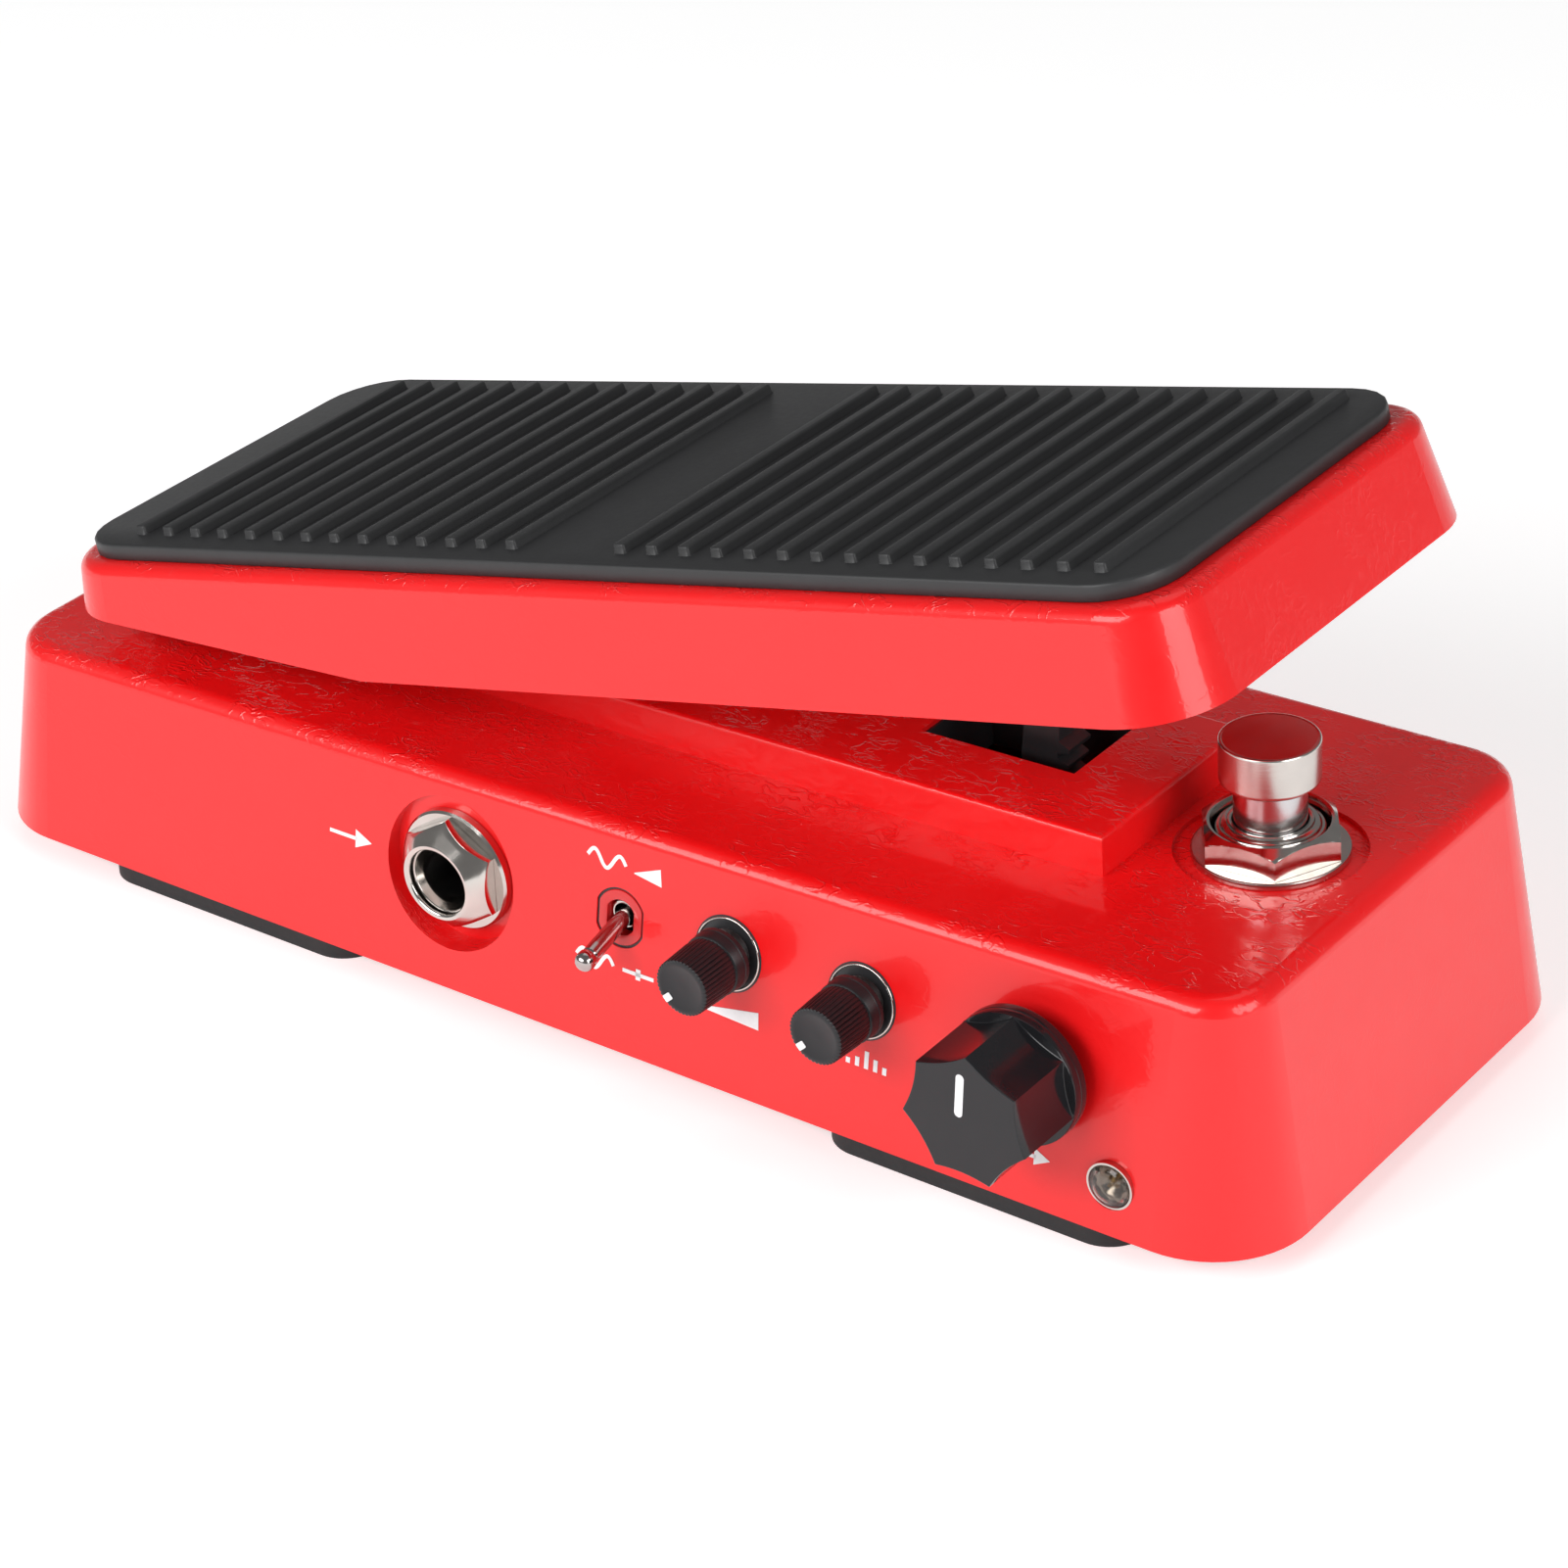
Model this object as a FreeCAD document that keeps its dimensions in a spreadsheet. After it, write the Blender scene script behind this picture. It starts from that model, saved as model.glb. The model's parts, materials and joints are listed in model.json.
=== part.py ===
import FreeCAD, Part
import math
import os

import Sketcher
from FreeCAD import Placement, Rotation, Vector

# A compact treadle pedal for guitar: a drafted cast base with a front control panel, a rocking treadle
# with a ribbed rubber mat, and a stomp switch at the toe end.
#
# Millimetres. +X runs from the heel to the toe, the control panel faces -Y, +Z is up. The origin lies on
# the floor under the middle of the whole pedal.
#
# Four frames are used besides the upright one:
#   panel frame    Z level out of the front wall, Y up, zero where the piece's axis meets the wall
#   back frame     the same for the back wall, with Z level out of it
#   deck frame     Z square to the sloping top of the base
#   treadle frame  origin on the treadle's pivot axis, X along the treadle, Z square to its top

doc = FreeCAD.newDocument("TreadlePedal")
sheet = doc.addObject("Spreadsheet::Sheet", "Sizes")

SIZES = [
    # base casting
    ("base_length", 168.0, "base, heel to toe, at the floor edge"),
    ("base_width", 66.5, "base, front to back, at the floor edge"),
    ("heel_height", 22.0, "height of the casting at the heel end"),
    ("toe_height", 26.9, "height of the casting at the toe end"),
    ("wall_lean", 9.0, "draft of the outer walls, degrees"),
    ("base_corner", 11.0, "corner radius at the floor edge"),
    ("base_wall", 2.6, "thickness of the side walls"),
    ("base_roof", 3.0, "thickness of the deck"),
    ("deck_round", 2.0, "radius along the top edge of the base"),
    ("platform_start", -40.0, "heel end of the raised platform"),
    ("platform_end", 54.9, "toe end of the raised platform"),
    ("platform_width", 26.8, "width of the raised platform"),
    ("platform_rise", 4.4, "height of the platform over the deck"),
    ("slot_lead", 15.5, "heel end of the slot, back from the arm's pitch line"),
    ("slot_length", 18.7, "slot in the platform, along the base"),
    ("slot_front", -3.7, "front edge of the slot, from the middle line"),
    ("slot_back", 9.0, "back edge of the slot, from the middle line"),
    ("plate_thickness", 1.5, "bottom plate"),
    ("plate_gap", 0.3, "gap round the bottom plate"),
    ("post_radius", 3.2, "screw posts inside the base"),
    ("post_inset", 10.5, "screw posts, in from the floor edge"),
    ("plate_screw", 1.5, "radius of the bottom plate screws"),
    ("foot_thickness", 3.0, "rubber feet"),
    ("foot_length", 37.0, "rubber feet, along the base"),
    ("foot_inset", 1.3, "rubber feet, in from the long edges"),
    ("foot_corner", 4.5, "corner radius of the feet"),
    ("heel_foot_at", -47.7, "middle of the heel foot"),
    ("toe_foot_at", 50.6, "middle of the toe foot"),
    # treadle
    ("pivot_at", -22.0, "pivot axis, along the base"),
    ("pivot_height", 38.4, "pivot axis, over the floor"),
    ("treadle_tilt", 13.2, "slope of the treadle at rest, heel down, degrees"),
    ("treadle_travel", 8.8, "how far the treadle rocks, degrees"),
    ("treadle_length", 146.5, "top of the treadle casting"),
    ("treadle_width", 53.5, "top of the treadle casting"),
    ("treadle_middle", 22.3, "middle of the treadle from the pivot, along the treadle"),
    ("treadle_top", 8.18, "top of the casting over the pivot, square to the treadle"),
    ("treadle_lean", 10.0, "draft of the treadle's sides, degrees"),
    ("treadle_corner", 7.3, "corner radius of the treadle"),
    ("toe_thickness", 11.1, "treadle thickness from the knee to the toe"),
    ("heel_thickness", 5.4, "treadle thickness at the heel end"),
    ("knee_at", -28.5, "knee of the underside, from the middle of the treadle"),
    ("treadle_roof", 2.6, "thickness of the treadle's top"),
    ("treadle_wall", 2.6, "thickness of the treadle's sides"),
    ("treadle_round", 1.7, "radius along the treadle's top edge"),
    ("solid_heel", 16.0, "length of the treadle's heel that isn't hollowed"),
    ("mat_length", 142.4, "rubber mat"),
    ("mat_width", 50.6, "rubber mat"),
    ("mat_middle", 21.94, "middle of the mat from the pivot, along the treadle"),
    ("mat_corner", 7.0, "corner radius of the mat"),
    ("mat_thickness", 1.84, "rubber mat without its ribs"),
    ("rib_height", 1.0, "ribs over the mat"),
    ("rib_width", 1.7, "ribs, along the treadle"),
    ("rib_length", 44.8, "ribs, across the treadle"),
    ("rib_pitch", 4.18, "distance from rib to rib"),
    ("treadle_zero", 24.94, "zero of the rib positions, from the pivot"),
    ("heel_rib_at", -65.6, "first rib of the heel group, from the top's own zero"),
    ("toe_rib_at", 3.4, "first rib of the toe group, from the top's own zero"),
    ("shaft_radius", 2.5, "pivot shaft"),
    ("shaft_length", 41.0, "pivot shaft"),
    ("running_gap", 0.05, "radial play of a shaft in its bush"),
    ("bush_wall", 1.2, "wall of the pivot bushes"),
    ("bracket_gap", 21.0, "clear width between the bracket's cheeks"),
    ("bracket_sheet", 2.0, "steel sheet of the pivot bracket"),
    ("bracket_length", 18.0, "pivot bracket, along the base"),
    ("eye_radius", 4.9, "round top of the bracket's cheeks"),
    ("lug_gap", 0.6, "side play between bracket and treadle lugs"),
    ("lug_thickness", 4.0, "lugs inside the treadle"),
    ("lug_radius", 4.4, "lugs inside the treadle, round the shaft"),
    # toothed arm and pedal potentiometer
    ("tooth_module", 0.6, "module of the toothed arm and pinion"),
    ("arm_radius", 64.2, "pitch radius of the toothed arm, about the pivot axis"),
    ("pinion_teeth", 12, "teeth of the pinion"),
    ("tooth_play", 0.14, "play between the teeth, along the pitch line"),
    ("arm_depth", 5.0, "toothed arm, from its teeth inward"),
    ("arm_thickness", 4.0, "toothed arm, across the pedal"),
    ("arm_middle", 1.5, "toothed arm, from the middle line"),
    ("pinion_height", 17.5, "pinion axis, over the floor"),
    ("pot_shaft_radius", 1.5, "shaft of the pedal potentiometer"),
    ("pedal_pot_radius", 5.8, "can of the pedal potentiometer"),
    ("pedal_pot_depth", 7.0, "can of the pedal potentiometer"),
    # stomp switch
    ("stomp_at", 66.0, "stomp switch, along the base"),
    ("stomp_top", 12.45, "top of the cap over the deck"),
    ("cap_radius", 5.1, "stomp switch cap"),
    ("cap_height", 4.7, "stomp switch cap"),
    ("stem_radius", 3.7, "stem under the cap"),
    ("stomp_travel", 2.5, "how far the cap goes down"),
    ("stomp_bush_radius", 5.5, "threaded bush of the stomp switch"),
    ("stomp_bush_top", 3.2, "threaded bush over the deck"),
    ("stomp_washer_radius", 8.0, "washer under the nut"),
    ("stomp_nut_flats", 13.3, "nut across its flats"),
    ("stomp_recess", 9.8, "radius of the shallow recess round the washer"),
    ("recess_depth", 0.5, "depth of the shallow recesses"),
    # front and back wall, heights over the lower edge of the casting
    ("jack_at", -14.8, "input jack"),
    ("jack_up", 13.0, "input and output jacks"),
    ("jack_bore", 3.2, "radius of the jack's bore"),
    ("jack_thread", 4.7, "radius of the jack's threaded nose"),
    ("jack_flange", 6.9, "flange of the jack nut"),
    ("jack_recess", 8.5, "round recess round the jack nut"),
    ("jack_depth", 1.85, "depth of that recess on the jack's axis"),
    ("boss_depth", 2.5, "metal left behind the recess"),
    ("jack_nose", 2.4, "mouth of the jack's nut out of the wall"),
    ("out_jack_at", -34.0, "output jack, on the back wall"),
    ("power_at", 4.0, "power inlet, on the back wall"),
    ("power_bore", 2.8, "radius of the power inlet's mouth"),
    ("power_mouth", 2.6, "length of that mouth"),
    ("toggle_at", 7.6, "toggle switch"),
    ("toggle_up", 14.8, "toggle switch"),
    ("toggle_tilt", 16.0, "lever below or above level, degrees"),
    ("lever_radius", 1.1, "toggle lever at its tip"),
    ("lever_reach", 7.2, "tip of the lever from the wall"),
    ("level_at", 21.4, "first small knob"),
    ("quality_at", 37.8, "second small knob"),
    ("small_up", 15.1, "small knobs"),
    ("small_radius", 3.1, "face of a small knob"),
    ("small_flange", 3.85, "flange of a small knob"),
    ("small_height", 7.9, "face of a small knob from the wall"),
    ("range_at", 58.0, "large knob"),
    ("range_up", 15.0, "large knob"),
    ("range_corner", 7.2, "large knob, middle to corner of its face"),
    ("range_skirt", 7.3, "round skirt of the large knob"),
    ("range_height", 11.9, "face of the large knob from the wall"),
    ("knob_gap", 0.35, "gap between a knob's lower edge and the sloping wall"),
    ("lamp_at", 67.9, "lamp"),
    ("lamp_up", 5.3, "lamp"),
    ("lamp_radius", 2.35, "lamp lens"),
    ("knob_shaft", 1.5, "shafts under the knobs"),
    ("fit_gap", 0.1, "gap round a fixed piece in its hole"),
]


def fill_sheet():
    for row, (alias, number, note) in enumerate(SIZES, start=1):
        sheet.set(f"A{row}", alias)
        sheet.set(f"B{row}", str(number))
        sheet.set(f"C{row}", note)
        sheet.setAlias(f"B{row}", alias)
    doc.recompute()


fill_sheet()


class Size:
    """Turns S.base_length into the expression text Sizes.base_length."""

    def __getattr__(self, alias):
        return f"Sizes.{alias}"


S = Size()


def number(text):
    """The value of an expression, as a plain number."""
    found = sheet.evalExpression(str(text))
    return float(getattr(found, "Value", found))


# ---------------------------------------------------------------- frames
RISE = f"(({S.toe_height} - {S.heel_height}) / {S.base_length})"
MIDDLE_HEIGHT = f"(({S.toe_height} + {S.heel_height}) / 2)"


def wall_at(up):
    """How far the outer wall stands from the middle line, at a height over the casting's lower edge."""
    return f"({S.base_width} / 2 - ({up}) * tan({S.wall_lean} * 1deg))"


# the middle of the whole pedal lies half way between the large knob's face and the output jack's nose
FRONT_REACH = f"({wall_at(S.range_up)} + {S.range_height})"
BACK_REACH = f"({wall_at(S.jack_up)} + {S.jack_nose})"
SHIFT = f"(({FRONT_REACH} - {BACK_REACH}) / 2)"


def deck_level(along):
    """Height of the deck over the floor at a place along the base."""
    return f"({S.foot_thickness} + {MIDDLE_HEIGHT} + ({along}) * {RISE})"


def put(piece, along=0, across=0, up=0, axis=None, angle=None):
    """Places a piece at an upright position, turned about one axis."""
    if axis is not None:
        piece.Placement = Placement(Vector(), Rotation(Vector(*axis), 1))
        piece.setExpression("Placement.Rotation.Angle", f"{angle}")
    piece.setExpression("Placement.Base.x", f"{along}")
    piece.setExpression("Placement.Base.y", f"({across}) + {SHIFT}")
    piece.setExpression("Placement.Base.z", f"{up}")
    return piece


def put_on_base(piece, along=0, across=0, up=0):
    """Upright, with its height counted from the casting's lower edge."""
    return put(piece, along, across, f"{S.foot_thickness} + ({up})")


def put_on_deck(piece, along=0, across=0, out=0):
    """Square to the sloping deck, out from its surface."""
    lean = f"atan({RISE})"
    where = f"({along}) - ({out}) * sin({lean})"
    height = f"{deck_level(along)} + ({out}) * cos({lean})"
    return put(piece, where, across, height, (0, -1, 0), lean)


def put_on_panel(piece, along=0, up=0, out=0):
    """Level out of the front wall, from where the axis meets it."""
    across = f"-{wall_at(up)} - ({out})"
    return put(piece, along, across, f"{S.foot_thickness} + {up}", (1, 0, 0), 90)


def put_on_wall(piece, along=0, up=0, out=0):
    """Square to the sloping front wall, out from its surface."""
    lean = f"({S.wall_lean} * 1deg)"
    across = f"-{wall_at(up)} - ({out}) * cos({lean})"
    height = f"{S.foot_thickness} + {up} + ({out}) * sin({lean})"
    return put(piece, along, across, height, (1, 0, 0), f"90 - {S.wall_lean}")


def put_on_back(piece, along=0, up=0, out=0):
    """Level out of the back wall, from where the axis meets it."""
    across = f"{wall_at(up)} + ({out})"
    return put(piece, along, across, f"{S.foot_thickness} + {up}", (-1, 0, 0), 90)


def put_on_treadle(piece, along=0, across=0, out=0):
    """In the treadle frame, measured from the pivot axis."""
    tilt = f"{S.treadle_tilt} * 1deg"
    where = f"{S.pivot_at} + ({along}) * cos({tilt}) - ({out}) * sin({tilt})"
    height = f"{S.pivot_height} + ({along}) * sin({tilt}) + ({out}) * cos({tilt})"
    return put(piece, where, across, height, (0, -1, 0), S.treadle_tilt)


# ---------------------------------------------------------------- building helpers
made = []


def node(piece, label):
    """Names a finished sub-part; the name is also its file's name."""
    piece.Label = label
    made.append(piece)
    return piece


def new_body(name):
    return doc.addObject("PartDesign::Body", name)


def new_sketch(body, name, role="XY_Plane", offset=None):
    """A sketch on one of the body's own origin planes."""
    plane = [f for f in body.Origin.OriginFeatures if f.Role == role][0]
    sketch = body.newObject("Sketcher::SketchObject", name)
    sketch.AttachmentSupport = [(plane, "")]
    sketch.MapMode = "FlatFace"
    if offset is not None:
        sketch.setExpression("AttachmentOffset.Base.z", f"{offset}")
    return sketch


def fix_point(sketch, geometry, end, across, up):
    """Ties a point to its distances from the sketch's origin."""
    for kind, text, axis in (("DistanceX", across, -2), ("DistanceY", up, -1)):
        value = number(text)
        if abs(value) < 1e-9:
            sketch.addConstraint(Sketcher.Constraint("PointOnObject", geometry, end, axis))
            continue
        ends = (-1, 1, geometry, end) if value > 0 else (geometry, end, -1, 1)
        index = sketch.addConstraint(Sketcher.Constraint(kind, *ends, abs(value)))
        sketch.setExpression(f"Constraints[{index}]", f"abs({text})")


def draw_polygon(sketch, corners):
    """A closed outline of straight lines through corners given as expressions."""
    points = [Vector(number(a), number(b), 0) for a, b in corners]
    count = len(points)
    for i in range(count):
        sketch.addGeometry(Part.LineSegment(points[i], points[(i + 1) % count]), False)
    for i in range(count):
        sketch.addConstraint(Sketcher.Constraint("Coincident", i, 2, (i + 1) % count, 1))
    for i, (a, b) in enumerate(corners):
        fix_point(sketch, i, 1, a, b)


def draw_rounded(sketch, length, width, radius):
    """A rounded rectangle about the sketch's origin."""
    half_x = number(length) / 2
    half_y = number(width) / 2
    r = number(radius)
    cx, cy = half_x - r, half_y - r
    flat = [
        ((-cx, -half_y), (cx, -half_y)),
        ((half_x, -cy), (half_x, cy)),
        ((cx, half_y), (-cx, half_y)),
        ((-half_x, cy), (-half_x, -cy)),
    ]
    for start, end in flat:
        sketch.addGeometry(Part.LineSegment(Vector(*start, 0), Vector(*end, 0)), False)
    for i, (x, y) in enumerate([(cx, -cy), (cx, cy), (-cx, cy), (-cx, -cy)]):
        circle = Part.Circle(Vector(x, y, 0), Vector(0, 0, 1), r)
        first = math.radians(-90 + 90 * i)
        sketch.addGeometry(Part.ArcOfCircle(circle, first, first + math.pi / 2), False)
    tie = Sketcher.Constraint
    for i in range(4):
        sketch.addConstraint(tie("Tangent", i, 2, 4 + i, 1))
        sketch.addConstraint(tie("Tangent", 4 + i, 2, (i + 1) % 4, 1))
    sketch.addConstraint(tie("Horizontal", 0))
    sketch.addConstraint(tie("Vertical", 1))
    for i in (5, 6, 7):
        sketch.addConstraint(tie("Equal", 4, i))
    sketch.addConstraint(tie("Symmetric", 7, 3, 5, 3, -1, 1))
    index = sketch.addConstraint(tie("Radius", 4, r))
    sketch.setExpression(f"Constraints[{index}]", f"{radius}")
    index = sketch.addConstraint(tie("DistanceX", 7, 3, 4, 3, 2 * cx))
    sketch.setExpression(f"Constraints[{index}]", f"({length}) - 2 * ({radius})")
    index = sketch.addConstraint(tie("DistanceY", 4, 3, 5, 3, 2 * cy))
    sketch.setExpression(f"Constraints[{index}]", f"({width}) - 2 * ({radius})")


def pad(body, sketch, name, length, lean=None, down=False, midplane=False):
    """A Pad whose sides lean by an angle: positive spreads, negative draws in."""
    feature = body.newObject("PartDesign::Pad", name)
    feature.Profile = sketch
    feature.Midplane = midplane
    feature.Reversed = down
    feature.setExpression("Length", f"{length}")
    if lean is not None:
        feature.setExpression("TaperAngle", f"{lean}")
    doc.recompute()
    return feature


def pocket(body, sketch, name, length, down=True, midplane=False):
    """A Pocket that has to take material away."""
    before = body.Shape.Volume
    feature = body.newObject("PartDesign::Pocket", name)
    feature.Profile = sketch
    feature.Midplane = midplane
    feature.Reversed = not down
    feature.setExpression("Length", f"{length}")
    doc.recompute()
    if not feature.Shape.Volume < before - 1e-6:
        raise RuntimeError(f"{name} cuts nothing")
    return feature


def fillet(body, base, name, radius, chosen):
    """Rounds the edges that the test picks."""
    edges = [f"Edge{i + 1}" for i, e in enumerate(base.Shape.Edges) if chosen(e)]
    feature = body.newObject("PartDesign::Fillet", name)
    feature.Base = (base, edges)
    feature.setExpression("Radius", f"{radius}")
    doc.recompute()
    return feature


def turned(name, profile):
    """A turned piece: corners are (radius, height) about the local Z axis."""
    body = new_body(name)
    sketch = new_sketch(body, f"{name}_profile", "XZ_Plane")
    draw_polygon(sketch, profile)
    spin = body.newObject("PartDesign::Revolution", f"{name}_spin")
    spin.Profile = sketch
    spin.ReferenceAxis = (sketch, ["V_Axis"])
    spin.Angle = 360
    doc.recompute()
    return body


def ring(name, inner, outer, low, high):
    return turned(name, [(inner, low), (outer, low), (outer, high), (inner, high)])


def rod(name, radius, low, high, chamfer=0):
    if not number(chamfer):
        return turned(name, [(0, low), (radius, low), (radius, high), (0, high)])
    rim = f"({radius}) - ({chamfer})"
    shoulder = f"({high}) - ({chamfer})"
    return turned(name, [(0, low), (radius, low), (radius, shoulder), (rim, high), (0, high)])


def block(name, length, width, height, down=False):
    """A box about the local Z axis, standing on the local XY plane."""
    body = new_body(name)
    sketch = new_sketch(body, f"{name}_outline")
    corners = [(-1, -1), (1, -1), (1, 1), (-1, 1)]
    outline = [(f"{a} * ({length}) / 2", f"{b} * ({width}) / 2") for a, b in corners]
    draw_polygon(sketch, outline)
    pad(body, sketch, f"{name}_pad", height, down=down)
    return body


def rounded_block(name, length, width, radius, height, lean=None, down=False):
    body = new_body(name)
    sketch = new_sketch(body, f"{name}_outline")
    draw_rounded(sketch, length, width, radius)
    pad(body, sketch, f"{name}_pad", height, lean, down)
    return body


def cut(name, base, tools):
    """Takes one or more tools away from a base, and checks that each took something."""
    for i, tool in enumerate(tools):
        result = doc.addObject("Part::Cut", f"{name}_cut{i}")
        result.Base = base
        result.Tool = tool
        doc.recompute()
        if not result.Shape.Volume < base.Shape.Volume - 1e-6:
            raise RuntimeError(f"{name}: tool {tool.Name} cuts nothing")
        base = result
    return base


def fuse(name, pieces):
    result = doc.addObject("Part::MultiFuse", name)
    result.Shapes = pieces
    doc.recompute()
    return result


def group(name, pieces):
    """Separate identical solids that share one node."""
    result = doc.addObject("Part::Compound", name)
    result.Links = pieces
    doc.recompute()
    return result


def hex_nut(name, flats, bore, low, high, face, chamfer):
    """A six-sided nut whose outer corners are taken off by a cone, down to a round face."""
    prism = doc.addObject("Part::Prism", f"{name}_prism")
    prism.Polygon = 6
    prism.setExpression("Circumradius", f"({flats}) / sqrt(3)")
    prism.setExpression("Height", f"({high}) - ({low})")
    prism.setExpression("Placement.Base.z", f"{low}")
    corner = f"({flats}) / sqrt(3)"
    shoulder = f"({high}) - ({chamfer})"
    profile = [(0, low), (corner, low), (corner, shoulder), (face, high), (0, high)]
    cone = turned(f"{name}_cone", profile)
    both = doc.addObject("Part::Common", f"{name}_both")
    both.Base = prism
    both.Tool = cone
    hole = rod(f"{name}_hole", bore, f"({low}) - 1", f"({high}) + 1")
    doc.recompute()
    return cut(name, both, [hole])


# ---------------------------------------------------------------- base casting
def sloped_block(name, length, width, radius, heel, toe):
    """A drafted block with rounded corners whose top slopes up from heel to toe."""
    body = rounded_block(name, length, width, radius, f"({toe}) + 4", f"-{S.wall_lean}")
    sketch = new_sketch(body, f"{name}_slope", "XZ_Plane")
    far = f"(({length}) / 2)"
    steep = f"((({toe}) - ({heel})) / ({length}))"
    low = f"({heel}) - 5 * {steep}"
    high = f"({toe}) + 5 * {steep}"
    corners = [(f"-{far} - 5", low), (f"{far} + 5", high), (f"{far} + 5", f"({toe}) + 9")]
    corners.append((f"-{far} - 5", f"({toe}) + 9"))
    draw_polygon(sketch, corners)
    pocket(body, sketch, f"{name}_top", f"2 * ({width})", midplane=True)
    return body


def base_outer():
    body = sloped_block(
        "base_outer", S.base_length, S.base_width, S.base_corner, S.heel_height, S.toe_height
    )
    slope = number(RISE)
    middle = number(MIDDLE_HEIGHT)

    def on_top_edge(edge):
        return all(abs(v.Z - middle - slope * v.X) < 0.02 for v in edge.Vertexes)

    fillet(body, body.Tip, "deck_edge", S.deck_round, on_top_edge)
    return put_on_base(body)


def base_core():
    """The hollow inside the casting."""
    inner_length = f"{S.base_length} - 2 * {S.base_wall}"
    inner_width = f"{S.base_width} - 2 * {S.base_wall}"
    inner_corner = f"{S.base_corner} - {S.base_wall}"
    heel = f"{S.heel_height} - {S.base_roof} + {S.base_wall} * {RISE}"
    toe = f"{S.toe_height} - {S.base_roof} - {S.base_wall} * {RISE}"
    core = sloped_block("base_core", inner_length, inner_width, inner_corner, heel, toe)
    return put_on_base(core)


def platform():
    """The raised part of the deck that the pivot bracket stands on."""
    length = f"{S.platform_end} - {S.platform_start}"
    body = block("platform", length, S.platform_width, f"{S.platform_rise} + {S.base_roof} / 2")

    upper = max(v.Z for v in body.Shape.Vertexes)
    fillet(
        body,
        body.Tip,
        "platform_edge",
        0.5,
        lambda edge: all(abs(v.Z - upper) < 1e-6 for v in edge.Vertexes),
    )
    middle = f"({S.platform_end} + {S.platform_start}) / 2"
    return put_on_deck(body, middle, 0, f"-{S.base_roof} / 2")


SCREW_POSTS = [(-1, -1), (1, -1), (1, 1), (-1, 1)]


def post_place(sx, sy):
    along = f"{sx} * ({S.base_length} / 2 - {S.post_inset})"
    across = f"{sy} * ({S.base_width} / 2 - {S.post_inset})"
    return along, across


def screw_posts():
    posts = []
    for i, (sx, sy) in enumerate(SCREW_POSTS):
        along, across = post_place(sx, sy)
        height = f"{MIDDLE_HEIGHT} + ({along}) * {RISE} - {S.plate_thickness} - {S.base_roof} / 2"
        post = rod(f"post{i}", S.post_radius, 0, height)
        posts.append(put_on_base(post, along, across, S.plate_thickness))
    return posts


def wall_bosses():
    """Thicker metal behind the recesses of the two jacks, kept inside the outer surface."""
    depth = f"{S.jack_depth} + {S.boss_depth}"
    radius = f"{S.jack_recess} + 1.2"
    front = put_on_panel(rod("front_boss", radius, f"-({depth})", 1), S.jack_at, S.jack_up)
    back = put_on_back(rod("back_boss", radius, f"-({depth})", 1), S.out_jack_at, S.jack_up)
    power = put_on_back(rod("power_boss", 8.2, f"-({depth})", 1), S.power_at, S.jack_up)
    return [front, back, power]


def base_holes():
    """Everything that is cut through the casting."""
    tools = []
    slot_width = f"{S.slot_back} - {S.slot_front}"
    slot = block("slot_tool", S.slot_length, slot_width, 30, down=True)
    middle = f"{S.pivot_at} + {S.arm_radius} - {S.slot_lead} + {S.slot_length} / 2"
    side = f"({S.slot_front} + {S.slot_back}) / 2"
    tools.append(put_on_deck(slot, middle, side, 12))
    for i, (sx, sy) in enumerate(SCREW_POSTS):
        along, across = post_place(sx, sy)
        hole = rod(f"post_hole{i}", S.plate_screw, -1, 9)
        tools.append(put_on_base(hole, along, across, S.plate_thickness))
    stomp = rod("stomp_hole", f"{S.stomp_bush_radius} + {S.fit_gap}", -12, 6)
    tools.append(put_on_deck(stomp, S.stomp_at))
    recess = rod("stomp_recess_tool", S.stomp_recess, f"-{S.recess_depth}", 6)
    tools.append(put_on_deck(recess, S.stomp_at))
    inner = f"-({S.base_wall} * 2 + 1)"
    nose = f"{S.jack_thread} + {S.fit_gap}"
    for name, place, at in (
        ("in", put_on_panel, S.jack_at),
        ("out", put_on_back, S.out_jack_at),
    ):
        tools.append(place(rod(f"{name}_hole", nose, inner, 5), at, S.jack_up))
        dish = rod(f"{name}_dish", S.jack_recess, f"-{S.jack_depth}", 5)
        tools.append(place(dish, at, S.jack_up))
    tools.append(put_on_back(rod("power_hole", 5.6, inner, 3), S.power_at, S.jack_up))
    power_dish = rod("power_dish", 7.2, f"-{S.jack_depth}", 3)
    tools.append(put_on_back(power_dish, S.power_at, S.jack_up))
    tools.append(put_on_wall(flat_sided("toggle_opening", 3.3, 6.0), S.toggle_at, S.toggle_up))
    for name, at, up in knob_places():
        tools.append(put_on_panel(rod(f"{name}_hole", 3.2, inner, 3), at, up))
    lamp = rod("lamp_hole", f"{S.lamp_radius} + 0.25", inner, 3)
    tools.append(put_on_panel(lamp, S.lamp_at, S.lamp_up))
    for i, (along, across) in enumerate(bracket_screw_places()):
        hole = rod(f"bracket_hole{i}", 1.25, -6, 6)
        tools.append(put_on_deck(hole, along, across, S.platform_rise))
    return tools


def flat_sided(name, radius, width, low=-9, high=3):
    """A disc with its left and right sides cut off flat."""
    disc = rod(f"{name}_disc", radius, low, high)
    slab = block(f"{name}_slab", width, f"3 * ({radius})", f"({high}) - ({low}) + 2", down=True)
    slab.setExpression("Placement.Base.z", f"({high}) + 1")
    both = doc.addObject("Part::Common", name)
    both.Base = disc
    both.Tool = slab
    doc.recompute()
    return both


def knob_foot(radius):
    """How far a knob's flange starts from the wall on its axis, so that its lower edge stays clear."""
    return f"(({radius}) * tan({S.wall_lean} * 1deg) + {S.knob_gap})"


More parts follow.
